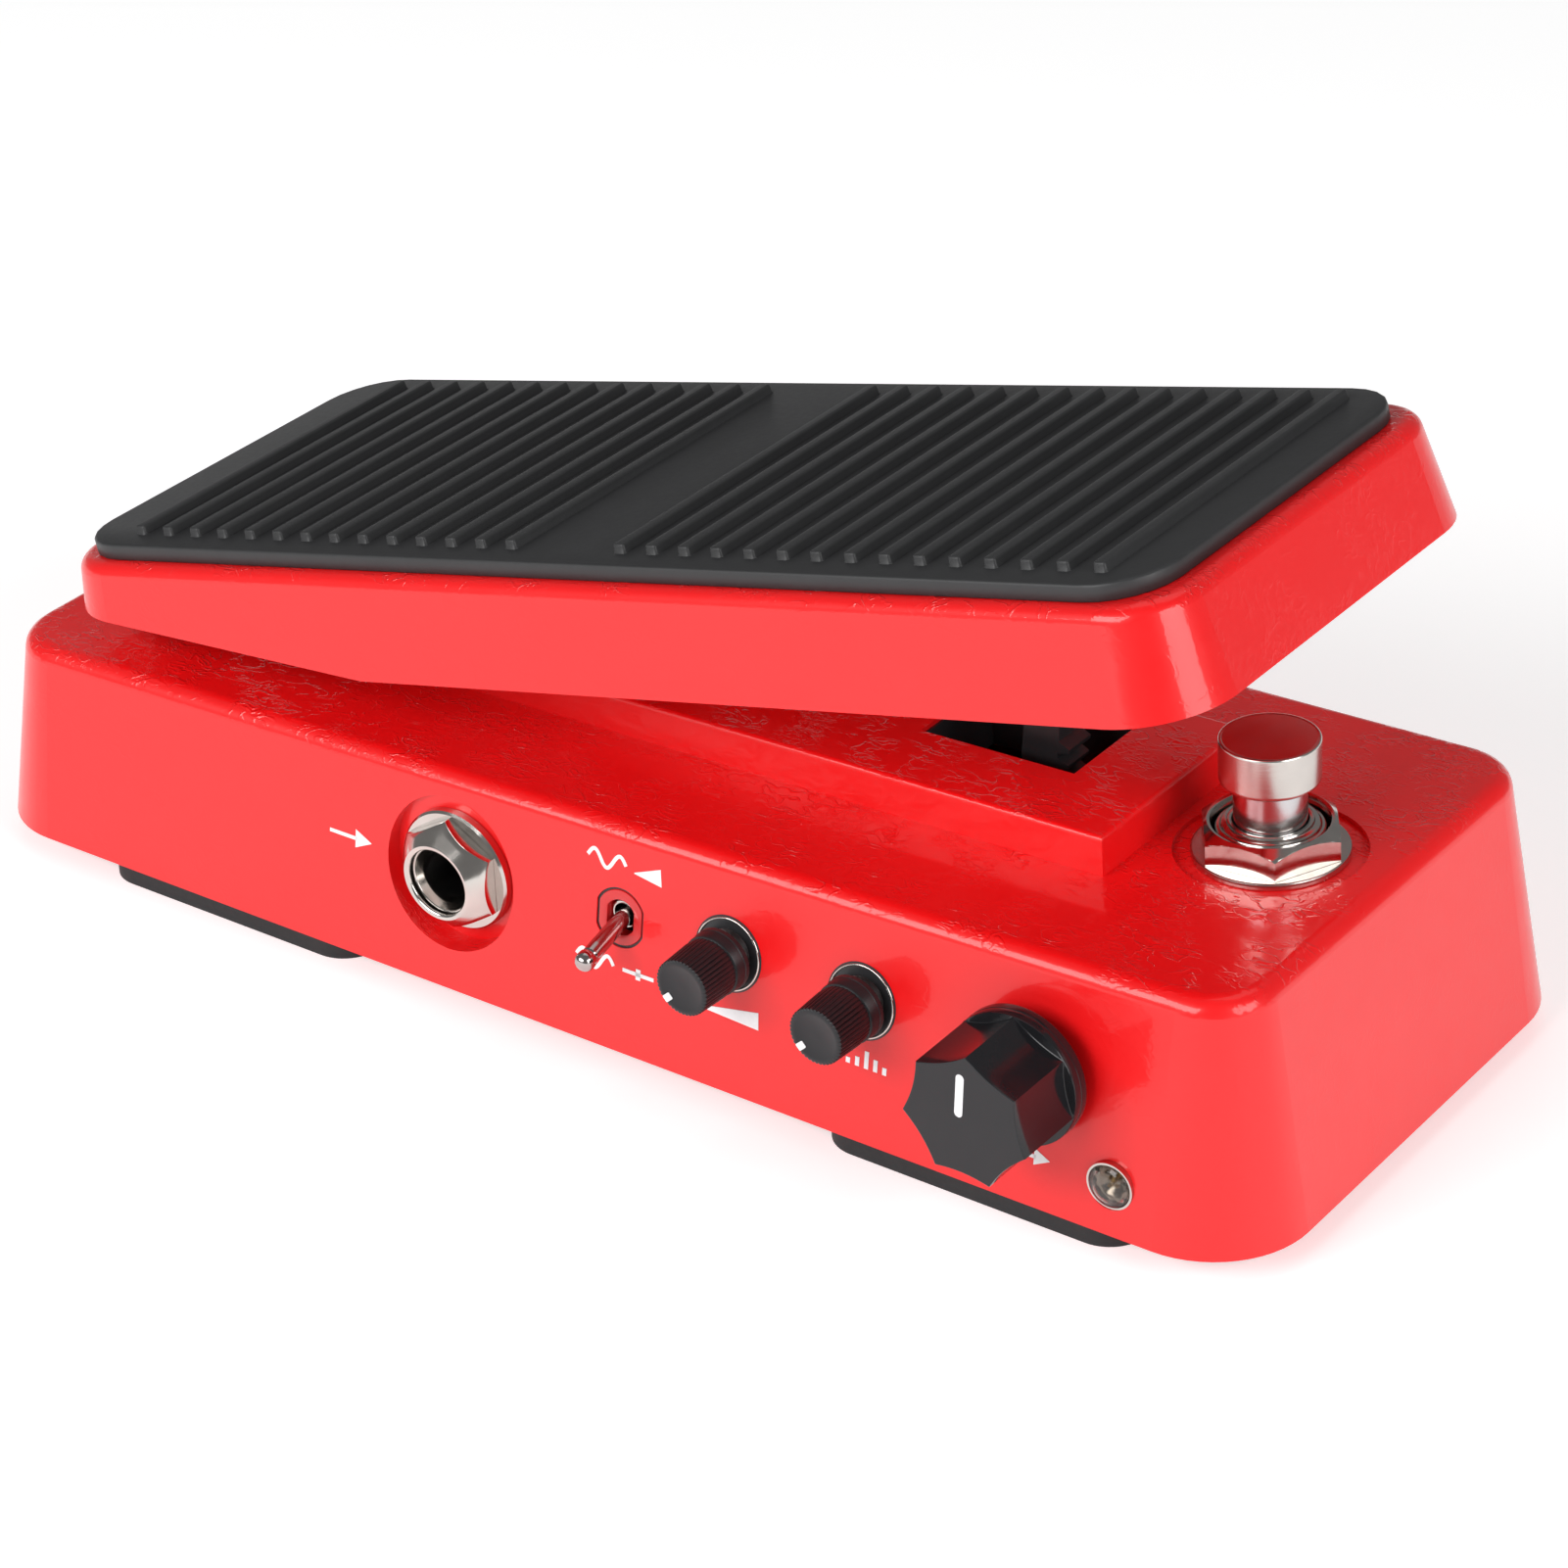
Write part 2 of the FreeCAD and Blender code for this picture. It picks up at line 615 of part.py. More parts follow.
def knob_places():
    return [
        ("level", S.level_at, S.small_up),
        ("quality", S.quality_at, S.small_up),
        ("range", S.range_at, S.range_up),
    ]


def bracket_screw_places():
    half_long = f"({S.bracket_length} / 2 - 3)"
    half_wide = f"({S.bracket_gap} / 2 - 3.5)"
    return [
        (f"{S.pivot_at} + {sx} * {half_long}", f"{sy} * {half_wide}") for sx, sy in SCREW_POSTS
    ]


def make_base():
    outer = base_outer()
    shell = cut("base_shell", outer, [base_core()])
    bosses = doc.addObject("Part::Common", "bosses_inside")
    bosses.Base = fuse("bosses", wall_bosses())
    bosses.Tool = outer
    whole = fuse("base_whole", [shell, bosses, platform()] + screw_posts())
    node(cut("base", whole, base_holes()), "base_casting")


def make_bottom():
    inner_length = f"{S.base_length} - 2 * {S.base_wall} - 2 * {S.plate_gap}"
    inner_width = f"{S.base_width} - 2 * {S.base_wall} - 2 * {S.plate_gap}"
    corner = f"{S.base_corner} - {S.base_wall} - {S.plate_gap}"
    lean = f"-{S.wall_lean}"
    plate = rounded_block("plate", inner_length, inner_width, corner, S.plate_thickness, lean)
    put_on_base(plate)
    holes = []
    screws = []
    for i, (sx, sy) in enumerate(SCREW_POSTS):
        along, across = post_place(sx, sy)
        hole = rod(f"plate_hole{i}", f"{S.plate_screw} + 0.2", -1, 4)
        holes.append(put_on_base(hole, along, across))
        head = f"{S.plate_screw} + 1.3"
        thread = f"{S.plate_screw} - 0.02"
        profile = [(0, -1.2), (f"{head} - 0.4", -1.2), (head, -0.8), (head, 0), (thread, 0)]
        profile += [(thread, 7), (0, 7)]
        screws.append(put_on_base(turned(f"plate_screw{i}", profile), along, across))
    node(cut("bottom", plate, holes), "bottom_plate")
    node(group("plate_screws", screws), "bottom_plate_screws")


def make_feet():
    width = f"{S.base_width} - 2 * {S.foot_inset}"
    for label, at in (("heel_foot", S.heel_foot_at), ("toe_foot", S.toe_foot_at)):
        foot = rounded_block(f"{label}_rubber", S.foot_length, width, S.foot_corner, S.foot_thickness)
        node(put(foot, at), label)


# ---------------------------------------------------------------- treadle
def treadle_outer():
    body = rounded_block(
        "treadle_outer",
        S.treadle_length,
        S.treadle_width,
        S.treadle_corner,
        S.toe_thickness,
        S.treadle_lean,
        down=True,
    )
    sketch = new_sketch(body, "heel_taper", "XZ_Plane")
    far = f"-{S.treadle_length} / 2"
    steep = f"(({S.toe_thickness} - {S.heel_thickness}) / ({S.treadle_length} / 2 + {S.knee_at}))"
    corners = [
        (f"{far} - 8", f"-{S.heel_thickness} + 8 * {steep}"),
        (S.knee_at, f"-{S.toe_thickness}"),
        (S.knee_at, f"-{S.toe_thickness} - 6"),
        (f"{far} - 8", f"-{S.toe_thickness} - 6"),
    ]
    draw_polygon(sketch, corners)
    pocket(body, sketch, "heel_underside", f"2 * {S.treadle_width}", midplane=True)

    def on_top_edge(edge):
        return all(abs(v.Z) < 1e-6 for v in edge.Vertexes)

    fillet(body, body.Tip, "treadle_edge", S.treadle_round, on_top_edge)
    hollow = new_sketch(body, "treadle_hollow_outline", offset=f"-{S.treadle_roof}")
    left = f"-{S.treadle_length} / 2 + {S.solid_heel}"
    right = f"{S.treadle_length} / 2 - {S.treadle_wall}"
    side = f"({S.treadle_width} / 2 - {S.treadle_wall})"
    draw_polygon(hollow, [(left, f"-{side}"), (right, f"-{side}"), (right, side), (left, side)])
    pocket(body, hollow, "treadle_hollow", f"2 * {S.toe_thickness}")
    return put_on_treadle(body, S.treadle_middle, 0, S.treadle_top)


LUG_MIDDLE = f"({S.bracket_gap} / 2 + {S.bracket_sheet} + {S.lug_gap} + {S.lug_thickness} / 2)"
ROOF_INSIDE = f"({S.treadle_top} - {S.treadle_roof})"
ARM_BLOCK_LENGTH = 16
ARM_BLOCK_AT = f"({S.arm_radius} - 4)"


def treadle_lugs():
    lugs = []
    for i, side in enumerate((-1, 1)):
        lug = block(f"lug{i}", f"2 * {S.lug_radius}", S.lug_thickness, f"{ROOF_INSIDE} + 0.5")
        lugs.append(put_on_treadle(lug, 0, f"{side} * {LUG_MIDDLE}", 0))
        eye = doc.addObject("Part::Cylinder", f"eye{i}")
        eye.setExpression("Radius", S.lug_radius)
        eye.setExpression("Height", S.lug_thickness)
        lugs.append(lay_across(eye, f"{side} * {LUG_MIDDLE} + {S.lug_thickness} / 2"))
    return lugs


def lay_across(piece, across, along=S.pivot_at, up=S.pivot_height):
    """Turns a piece's own Z axis to run along -Y, starting at a place across the pedal."""
    return put(piece, along, across, up, (1, 0, 0), 90)





def cap_in_treadle():
    """The cap's top middle, in the treadle frame, with the treadle fully down."""
    lean = f"atan({RISE})"
    dx = f"({S.stomp_at} - {S.stomp_top} * sin({lean}) - {S.pivot_at})"
    dz = f"({deck_level(S.stomp_at)} + {S.stomp_top} * cos({lean}) - {S.pivot_height})"
    turn = f"(({S.treadle_tilt} - {S.treadle_travel}) * 1deg)"
    along = f"({dx} * cos({turn}) + {dz} * sin({turn}))"
    out = f"({dz} * cos({turn}) - {dx} * sin({turn}))"
    return along, out


STRIKE_PAD = 2.0
STRIKE_GAP = 0.45


def make_treadle():
    outer = treadle_outer()
    along, out = cap_in_treadle()
    boss_length = f"({out}) * -1 + {ROOF_INSIDE} - {STRIKE_PAD} - {STRIKE_GAP} + 0.5"
    boss = block("strike_boss", 14, 14, boss_length, down=True)
    put_on_treadle(boss, f"{along} - 2", 0, f"{ROOF_INSIDE} + 0.5")
    seat = block("arm_seat", ARM_BLOCK_LENGTH, 12, 2.5, down=True)
    put_on_treadle(seat, ARM_BLOCK_AT, S.arm_middle, f"{ROOF_INSIDE} + 0.5")
    whole = fuse("treadle_whole", [outer, boss, seat] + treadle_lugs())
    bores = []
    hole = doc.addObject("Part::Cylinder", "shaft_hole")
    hole.setExpression("Radius", S.shaft_radius)
    hole.setExpression("Height", f"{S.shaft_length} + 2")
    bores.append(lay_across(hole, f"{S.shaft_length} / 2 + 1"))
    for i, side in enumerate((-1, 1)):
        screw = rod(f"arm_screw_hole{i}", 1.0, -4.5, 0)
        put_on_treadle(screw, f"{ARM_BLOCK_AT} + {side} * 5", S.arm_middle, f"{ROOF_INSIDE} + 1.5")
        bores.append(screw)
    node(cut("treadle", whole, bores), "treadle_casting")
    pad_piece = block("strike_rubber", 12, 12, STRIKE_PAD)
    put_on_treadle(pad_piece, f"{along} - 2", 0, f"({out}) + {STRIKE_GAP}")
    node(pad_piece, "toe_strike_pad")


def make_mat():
    """The rubber mat: one sheet with two groups of cross ribs and a plain band between them."""
    body = rounded_block("mat", S.mat_length, S.mat_width, S.mat_corner, S.mat_thickness)
    top = number(S.mat_thickness)
    fillet(
        body,
        body.Tip,
        "mat_edge",
        0.35,
        lambda edge: all(abs(v.Z - top) < 1e-6 for v in edge.Vertexes),
    )
    plain = body.Tip
    for name, first, count in (("heel", S.heel_rib_at, 14), ("toe", S.toe_rib_at, 15)):
        sketch = new_sketch(body, f"{name}_rib_outline", offset=f"{S.mat_thickness} - 0.2")
        zero = f"({first} + {S.treadle_zero} - {S.mat_middle})"
        low = f"{zero} - {S.rib_width} / 2"
        high = f"{zero} + {S.rib_width} / 2"
        half = f"{S.rib_length} / 2"
        draw_polygon(sketch, [(low, f"-{half}"), (high, f"-{half}"), (high, half), (low, half)])
        rib = pad(body, sketch, f"{name}_rib", f"{S.rib_height} + 0.2")
        row = body.newObject("PartDesign::LinearPattern", f"{name}_ribs")
        row.Originals = [rib]
        row.Direction = (sketch, ["H_Axis"])
        row.setExpression("Length", f"{S.rib_pitch} * {count - 1}")
        row.Occurrences = count
        body.Tip = row
        doc.recompute()
        if not row.Shape.Volume > plain.Shape.Volume:
            raise RuntimeError(f"{name} ribs add nothing")
    node(put_on_treadle(body, S.mat_middle, 0, S.treadle_top), "tread_mat")


def make_pivot():
    shaft = doc.addObject("Part::Cylinder", "shaft_rod")
    shaft.setExpression("Radius", f"{S.shaft_radius}")
    shaft.setExpression("Height", S.shaft_length)
    lay_across(shaft, f"{S.shaft_length} / 2")
    grooves = []
    clips = []
    for i, side in enumerate((-1, 1)):
        middle = f"{side} * ({LUG_MIDDLE} + {S.lug_thickness} / 2 + 0.5)"
        groove = ring(f"groove{i}", f"{S.shaft_radius} - 0.5", f"{S.shaft_radius} + 1", -0.4, 0.4)
        grooves.append(lay_across(groove, middle))
        clip = ring(f"clip{i}", f"{S.shaft_radius} - 0.5", f"{S.shaft_radius} + 1.6", -0.3, 0.3)
        mouth = block(f"clip_mouth{i}", 4, "1.6 * Sizes.shaft_radius", 4)
        mouth.setExpression("Placement.Base.x", f"{S.shaft_radius} + 1.4")
        mouth.setExpression("Placement.Base.z", "-2")
        clips.append(lay_across(cut(f"clip_open{i}", clip, [mouth]), middle))
    node(cut("shaft", shaft, grooves), "pivot_shaft")
    node(group("clips", clips), "shaft_clips")
    bushes = []
    sleeve = f"{S.shaft_radius} + {S.bush_wall}"
    for i, side in enumerate((-1, 1)):
        low = f"{S.bracket_sheet} / -2 - 0.4"
        high = f"{S.bracket_sheet} / 2 + 0.4"
        bush = ring(f"bush{i}", f"{S.shaft_radius} + {S.running_gap}", sleeve, low, high)
        middle = f"{side} * ({S.bracket_gap} / 2 + {S.bracket_sheet} / 2)"
        bushes.append(lay_across(bush, middle))
    node(group("bushes", bushes), "pivot_bushes")


def make_bracket():
    """A steel channel on the platform; its two cheeks narrow to round eyes for the pivot bushes."""
    body = new_body("bracket")
    sketch = new_sketch(body, "bracket_profile", "YZ_Plane")
    half = f"({S.bracket_gap} / 2)"
    outer = f"({S.bracket_gap} / 2 + {S.bracket_sheet})"
    floor = S.bracket_sheet
    lift = f"({S.pivot_height} - {deck_level(S.pivot_at)} - {S.platform_rise})"
    outline = [(f"-{outer}", 0), (outer, 0), (outer, lift), (half, lift), (half, floor)]
    outline += [(f"-{half}", floor), (f"-{half}", lift), (f"-{outer}", lift)]
    draw_polygon(sketch, outline)
    pad(body, sketch, "bracket_sheet_metal", S.bracket_length, midplane=True)
    for name, side in (("heel", -1), ("toe", 1)):
        taper = new_sketch(body, f"{name}_cheek_taper", "XZ_Plane")
        far = f"{side} * ({S.bracket_length} / 2 + 1)"
        near = f"{side} * {S.eye_radius}"
        draw_polygon(taper, [(far, f"{floor} + 1"), (near, lift), (far, f"{lift} + 0.001")])
        pocket(body, taper, f"{name}_cheek_cut", f"4 * {outer}", midplane=True)
    put_on_deck(body, S.pivot_at, 0, S.platform_rise)
    eyes = []
    for i, side in enumerate((-1, 1)):
        eye = doc.addObject("Part::Cylinder", f"cheek_eye{i}")
        eye.setExpression("Radius", S.eye_radius)
        eye.setExpression("Height", S.bracket_sheet)
        middle = f"{side} * ({S.bracket_gap} / 2 + {S.bracket_sheet} / 2)"
        eyes.append(lay_across(eye, f"{middle} + {S.bracket_sheet} / 2"))
    cheeks = fuse("bracket_cheeks", [body] + eyes)
    bore = doc.addObject("Part::Cylinder", "bush_bore")
    bore.setExpression("Radius", f"{S.shaft_radius} + {S.bush_wall}")
    bore.Height = 80
    holes = [lay_across(bore, "40")]
    screws = []
    for i, (along, across) in enumerate(bracket_screw_places()):
        hole = rod(f"sheet_hole{i}", 1.5, -1, 3)
        holes.append(put_on_deck(hole, along, across, S.platform_rise))
        head = [(0, -5), (1.25, -5), (1.25, S.bracket_sheet), (2.4, S.bracket_sheet)]
        head += [(2.4, f"{S.bracket_sheet} + 1.1"), (1.9, f"{S.bracket_sheet} + 1.6")]
        head += [(0, f"{S.bracket_sheet} + 1.6")]
        screw = turned(f"bracket_screw{i}", head)
        screws.append(put_on_deck(screw, along, across, S.platform_rise))
    node(cut("pivot_cheeks", cheeks, holes), "pivot_bracket")
    node(group("bracket_screws", screws), "bracket_screws")


def make_bumpers():
    """Two domed rubber stops on the deck that the heel comes down on."""
    tilt = f"({S.treadle_tilt} * 1deg)"
    slope = f"(({S.toe_thickness} - {S.heel_thickness}) / ({S.treadle_length} / 2 + {S.knee_at}))"
    along_treadle = f"({S.treadle_middle} - {S.treadle_length} / 2 + 8)"
    out = f"({S.treadle_top} - {S.heel_thickness} - 8 * {slope})"
    where = f"({S.pivot_at} + {along_treadle} * cos({tilt}) - {out} * sin({tilt}))"
    height = f"({S.pivot_height} + {along_treadle} * sin({tilt}) + {out} * cos({tilt}))"
    room = f"({height} - {deck_level(where)} - 0.3)"
    stops = []
    for i, side in enumerate((-1, 1)):
        profile = [(0, 0), (4.0, 0), (4.0, f"{room} * 0.55"), (3.2, f"{room} * 0.85")]
        profile += [(1.8, room), (0, room)]
        stop = turned(f"stop{i}", profile)
        stops.append(put_on_deck(stop, where, f"{side} * 16"))
    node(group("stops", stops), "heel_stops")


# ---------------------------------------------------------------- toothed arm and pinion
def involute_points(base_radius, first, last, start_angle, side, count=6):
    """Points of a circle's involute between two radii, turned so that it starts at an angle."""
    points = []
    low = math.sqrt(max((first / base_radius) ** 2 - 1, 0))
    high = math.sqrt((last / base_radius) ** 2 - 1)
    for i in range(count):
        roll = low + (high - low) * i / (count - 1)
        spread = roll - math.atan(roll)
        radius = base_radius * math.sqrt(1 + roll * roll)
        angle = start_angle + side * spread
        points.append(Vector(radius * math.cos(angle), radius * math.sin(angle), 0))
    return points


def tooth_wire(module, pitch, centre_angle, play, root_below):
    """One tooth of a gear about the origin, from under its root circle to its tip circle."""
    pressure = math.radians(20)
    base_radius = pitch * math.cos(pressure)
    tip = pitch + module
    root = max(pitch - 1.25 * module, base_radius)
    half = (math.pi * module / 2 - play / 2) / 2 / pitch + math.tan(pressure) - pressure
    right = involute_points(base_radius, root, tip, centre_angle - half, 1)
    left = involute_points(base_radius, root, tip, centre_angle + half, -1)
    inner = pitch - 1.25 * module - root_below
    foot = []
    for end in (left[0], right[0]):
        angle = math.atan2(end.y, end.x)
        foot.append(Vector(inner * math.cos(angle), inner * math.sin(angle), 0))
    curve_right = Part.BSplineCurve()
    curve_right.interpolate(right)
    curve_left = Part.BSplineCurve()
    curve_left.interpolate(left[::-1])
    crest = Vector(tip * math.cos(centre_angle), tip * math.sin(centre_angle), 0)
    edges = [
        curve_right.toShape(),
        Part.Arc(right[-1], crest, left[-1]).toShape(),
        curve_left.toShape(),
        Part.makeLine(left[0], foot[0]),
        Part.makeLine(foot[0], foot[1]),
        Part.makeLine(foot[1], right[0]),
    ]
    return Part.Wire(edges)


def sector(inner, outer, first, last):
    """A flat ring sector between two radii and two angles, as a face."""
    middle = (first + last) / 2

    def at(radius, angle):
        return Vector(radius * math.cos(angle), radius * math.sin(angle), 0)

    edges = [
        Part.Arc(at(outer, first), at(outer, middle), at(outer, last)).toShape(),
        Part.makeLine(at(outer, last), at(inner, last)),
        Part.Arc(at(inner, last), at(inner, middle), at(inner, first)).toShape(),
        Part.makeLine(at(inner, first), at(outer, first)),
    ]
    return Part.Face(Part.Wire(edges))


def make_arm():
    """The toothed arm: a curved strip about the pivot axis, hung under the treadle's top.

    It is worked out upright in the XZ plane about the pivot axis, with the gear's angles counted from
    +X upward, and with one tooth centred on the line from the pivot to the pinion.
    """
    module = number(S.tooth_module)
    pitch = number(S.arm_radius)
    thickness = number(S.arm_thickness)
    play = number(S.tooth_play)
    tilt = math.radians(number(S.treadle_tilt))
    mesh = -math.radians(number(f"asin(({S.pivot_height} - {S.pinion_height}) / {CENTRES})"))
    root = pitch - 1.25 * module
    inner = pitch - number(S.arm_depth)
    travel = math.radians(number(S.treadle_travel))
    step = math.pi * module / pitch
    below = 2
    above = math.ceil(travel / step) + 2
    low = mesh - (below + 0.9) * step
    roof = number(ROOF_INSIDE) - 2.0
    top = tilt + math.asin(roof / pitch) - 0.01
    strip = sector(inner, root, low, top)
    solid = strip.extrude(Vector(0, 0, thickness))
    for i in range(-below, above + 1):
        wire = tooth_wire(module, pitch, mesh + i * step, play, 0.3)
        solid = solid.fuse(Part.Face(wire).extrude(Vector(0, 0, thickness)))
    head = Part.makeBox(ARM_BLOCK_LENGTH, 3.0, thickness)
    head.translate(Vector(number(ARM_BLOCK_AT) - ARM_BLOCK_LENGTH / 2, roof - 3.0, 0))
    head.rotate(Vector(), Vector(0, 0, 1), math.degrees(tilt))
    flange = Part.makeBox(ARM_BLOCK_LENGTH, 1.6, 10)
    flange.translate(Vector(number(ARM_BLOCK_AT) - ARM_BLOCK_LENGTH / 2, roof - 1.6, -3))
    flange.rotate(Vector(), Vector(0, 0, 1), math.degrees(tilt))
    solid = solid.fuse([head, flange]).removeSplitter()
    arm = doc.addObject("Part::Feature", "arm")
    arm.Shape = solid
    # local X stays X, local Y becomes +Z and the thickness runs towards -Y
    lay_across(arm, f"{S.arm_middle} + {S.arm_thickness} / 2")
    screws = []
    holes = []
    for i, side in enumerate((-1, 1)):
        profile = [(0, -6.2), (1.7, -6.2), (1.7, -5.1), (1.0, -5.1), (1.0, -0.5), (0, -0.5)]
        screw = turned(f"arm_screw{i}", profile)
        put_on_treadle(screw, f"{ARM_BLOCK_AT} + {side} * 5", S.arm_middle, f"{ROOF_INSIDE} + 0.1")
        screws.append(screw)
        hole = rod(f"arm_hole{i}", 1.0, -9, 0)
        put_on_treadle(hole, f"{ARM_BLOCK_AT} + {side} * 5", S.arm_middle, ROOF_INSIDE)
        holes.append(hole)
        sink = rod(f"arm_sink{i}", 1.8, -9, -5.0)
        put_on_treadle(sink, f"{ARM_BLOCK_AT} + {side} * 5", S.arm_middle, f"{ROOF_INSIDE} + 0.1")
        holes.append(sink)
    node(cut("arm_drilled", arm, holes), "toothed_arm")
    node(group("arm_screws", screws), "arm_screws")


CENTRES = f"({S.arm_radius} + {S.tooth_module} * {S.pinion_teeth} / 2)"
PINION_AT = (
    f"({S.pivot_at} + sqrt({CENTRES} * {CENTRES} - ({S.pivot_height} - {S.pinion_height})"
    f" * ({S.pivot_height} - {S.pinion_height})))"
)


def make_pinion():
    """The pinion on the potentiometer shaft: a gap between two teeth faces the arm's middle tooth."""
    module = number(S.tooth_module)
    teeth = int(number(S.pinion_teeth))
    play = number(S.tooth_play)
    width = number(S.arm_thickness) + 1.0
    mesh = math.radians(180) - math.radians(
        number(f"asin(({S.pivot_height} - {S.pinion_height}) / {CENTRES})")
    )
    step = 2 * math.pi / teeth
    pitch = module * teeth / 2
    solid = Part.makeCylinder(pitch - 1.25 * module, width)
    for i in range(teeth):
        wire = tooth_wire(module, pitch, mesh + (i + 0.5) * step, play, 0.5)
        solid = solid.fuse(Part.Face(wire).extrude(Vector(0, 0, width)))
    bore = Part.makeCylinder(number(S.pot_shaft_radius), width)
    pinion = doc.addObject("Part::Feature", "pinion")
    pinion.Shape = solid.removeSplitter().cut(bore)
    lay_across(pinion, f"{S.arm_middle} + {S.arm_thickness} / 2 + 0.5", PINION_AT, S.pinion_height)
    node(pinion, "pinion_gear")
    inner = f"{S.arm_middle} + {S.arm_thickness} / 2 + 1"
    shaft = rod("pinion_shaft", S.pot_shaft_radius, 0, f"{S.arm_thickness} + 6.2")
    lay_across(shaft, f"({inner}) + 4.2", PINION_AT, S.pinion_height)
    node(shaft, "pedal_pot_shaft")


def make_pedal_pot():
    front = f"({S.arm_middle} + {S.arm_thickness} / 2 + 2.6)"
    bore = f"{S.pot_shaft_radius} + {S.running_gap}"
    can = S.pedal_pot_radius
    profile = [(0, 0), (can, 0), (can, S.pedal_pot_depth), (3.0, S.pedal_pot_depth)]
    nose = f"{S.pedal_pot_depth} + 1.4"
    blind = f"{S.pedal_pot_depth} - 2.1"
    profile += [(3.0, nose), (bore, nose), (bore, blind), (0, blind)]
    pot = turned("pedal_pot_can", profile)
    lay_across(pot, f"{front} + {S.pedal_pot_depth} + 0.6", PINION_AT, S.pinion_height)
    node(pot, "pedal_potentiometer")
    sheet_thickness = 1.2
    arm = new_body("pot_bracket_body")
    sketch = new_sketch(arm, "pot_bracket_profile", "YZ_Plane")
    top = 0
    drop = f"({deck_level(PINION_AT)} - {S.base_roof} - {S.pinion_height})"
    near = f"{front} - {sheet_thickness} + 0.6"
    far = f"{front} + 0.6"
    foot = f"-{drop} - 7"
    outline = [(near, foot), (far, foot), (far, -sheet_thickness)]
    outline += [(f"{far} + 8", -sheet_thickness), (f"{far} + 8", top), (near, top)]
    draw_polygon(sketch, outline)
    pad(arm, sketch, "pot_bracket_sheet", 12, midplane=True)
    put_on_deck(arm, PINION_AT, 0, f"-{S.base_roof}")
    hole = rod("pot_bracket_hole", 3.05, -30, 30)
    lay_across(hole, 0, PINION_AT, S.pinion_height)
    node(cut("pot_bracket_cut", arm, [hole]), "pot_bracket")


# ---------------------------------------------------------------- stomp switch
def make_stomp():
    at = S.stomp_at
    bush_bore = f"{S.stem_radius} + {S.running_gap}"
    foot = f"-{S.base_roof} - 1.0"
    washer_top = f"{S.recess_depth} * -1 + 0.8"
    washer = ring(
        "stomp_washer",
        f"{S.stomp_bush_radius} + {S.fit_gap}",
        S.stomp_washer_radius,
        f"-{S.recess_depth}",
        washer_top,
    )
    node(put_on_deck(washer, at), "stomp_washer")
    nut_low = f"{washer_top}"
    nut_high = f"{washer_top} + 2.3"
    face = f"{S.stomp_nut_flats} / 2 - 0.35"
    bore = S.stomp_bush_radius
    nut = hex_nut("stomp_hex", S.stomp_nut_flats, bore, nut_low, nut_high, face, 0.95)
    node(put_on_deck(nut, at), "stomp_nut")
    rim = f"{S.stomp_bush_radius} - 0.5"
    bush = turned(
        "stomp_bush",
        [
            (bush_bore, foot),
            (S.stomp_bush_radius, foot),
            (S.stomp_bush_radius, f"{S.stomp_bush_top} - 0.7"),
            (rim, f"{S.stomp_bush_top} - 0.4"),
            (f"{bush_bore} + 0.9", f"{S.stomp_bush_top} - 0.35"),
            (f"{bush_bore} + 0.6", S.stomp_bush_top),
            (f"{bush_bore} + 0.15", S.stomp_bush_top),
            (bush_bore, f"{S.stomp_bush_top} - 0.2"),
        ],
    )
    node(put_on_deck(bush, at), "stomp_bush")
    can = block("stomp_can", 17, 15, 13.5, down=True)
    put_on_deck(can, at, 0, foot)
    room = rod("stomp_room", f"{S.stem_radius} + 0.6", f"{foot} - 6 - {S.stomp_travel}", foot)
    put_on_deck(room, at)
    node(cut("stomp_case", can, [room]), "stomp_switch_body")
    low = f"{foot} - 4.0"
    shoulder = f"{S.stomp_top} - {S.cap_height}"
    stem = turned(
        "stomp_stem",
        [(0, low), (S.stem_radius, low), (S.stem_radius, shoulder), (0, shoulder)],
    )
    node(put_on_deck(stem, at), "stomp_stem")
    rim = S.cap_radius
    profile = [(0, shoulder), (f"{rim} - 0.4", shoulder), (rim, f"{shoulder} + 0.4")]
    profile += [(rim, f"{S.stomp_top} - 0.3"), (f"{rim} - 0.25", S.stomp_top), (0, S.stomp_top)]
    cap = turned("stomp_button_cap", profile)
    node(put_on_deck(cap, at), "stomp_cap")
    make_stomp_spring(low, f"{foot} - 8.4")


def make_stomp_spring(top, bottom):
    """The return spring in the switch body, as a round wire wound about the stem's axis."""
    upper = number(top)
    lower = number(bottom)
    wire = 0.5
    radius = number(S.stem_radius) - 0.6
    height = upper - lower - 2 * wire
    helix = Part.makeHelix(height / 4, height, radius)
    start = helix.Vertexes[0].Point
    section = Part.Wire([Part.Circle(start, Vector(0, 1, 0), wire).toShape()])
    coil = Part.Wire(helix.Edges).makePipeShell([section], True, True)
    spring = doc.addObject("Part::Feature", "stomp_coil")
    spring.Shape = coil
    node(put_on_deck(spring, S.stomp_at, 0, f"({bottom}) + {wire}"), "stomp_spring")


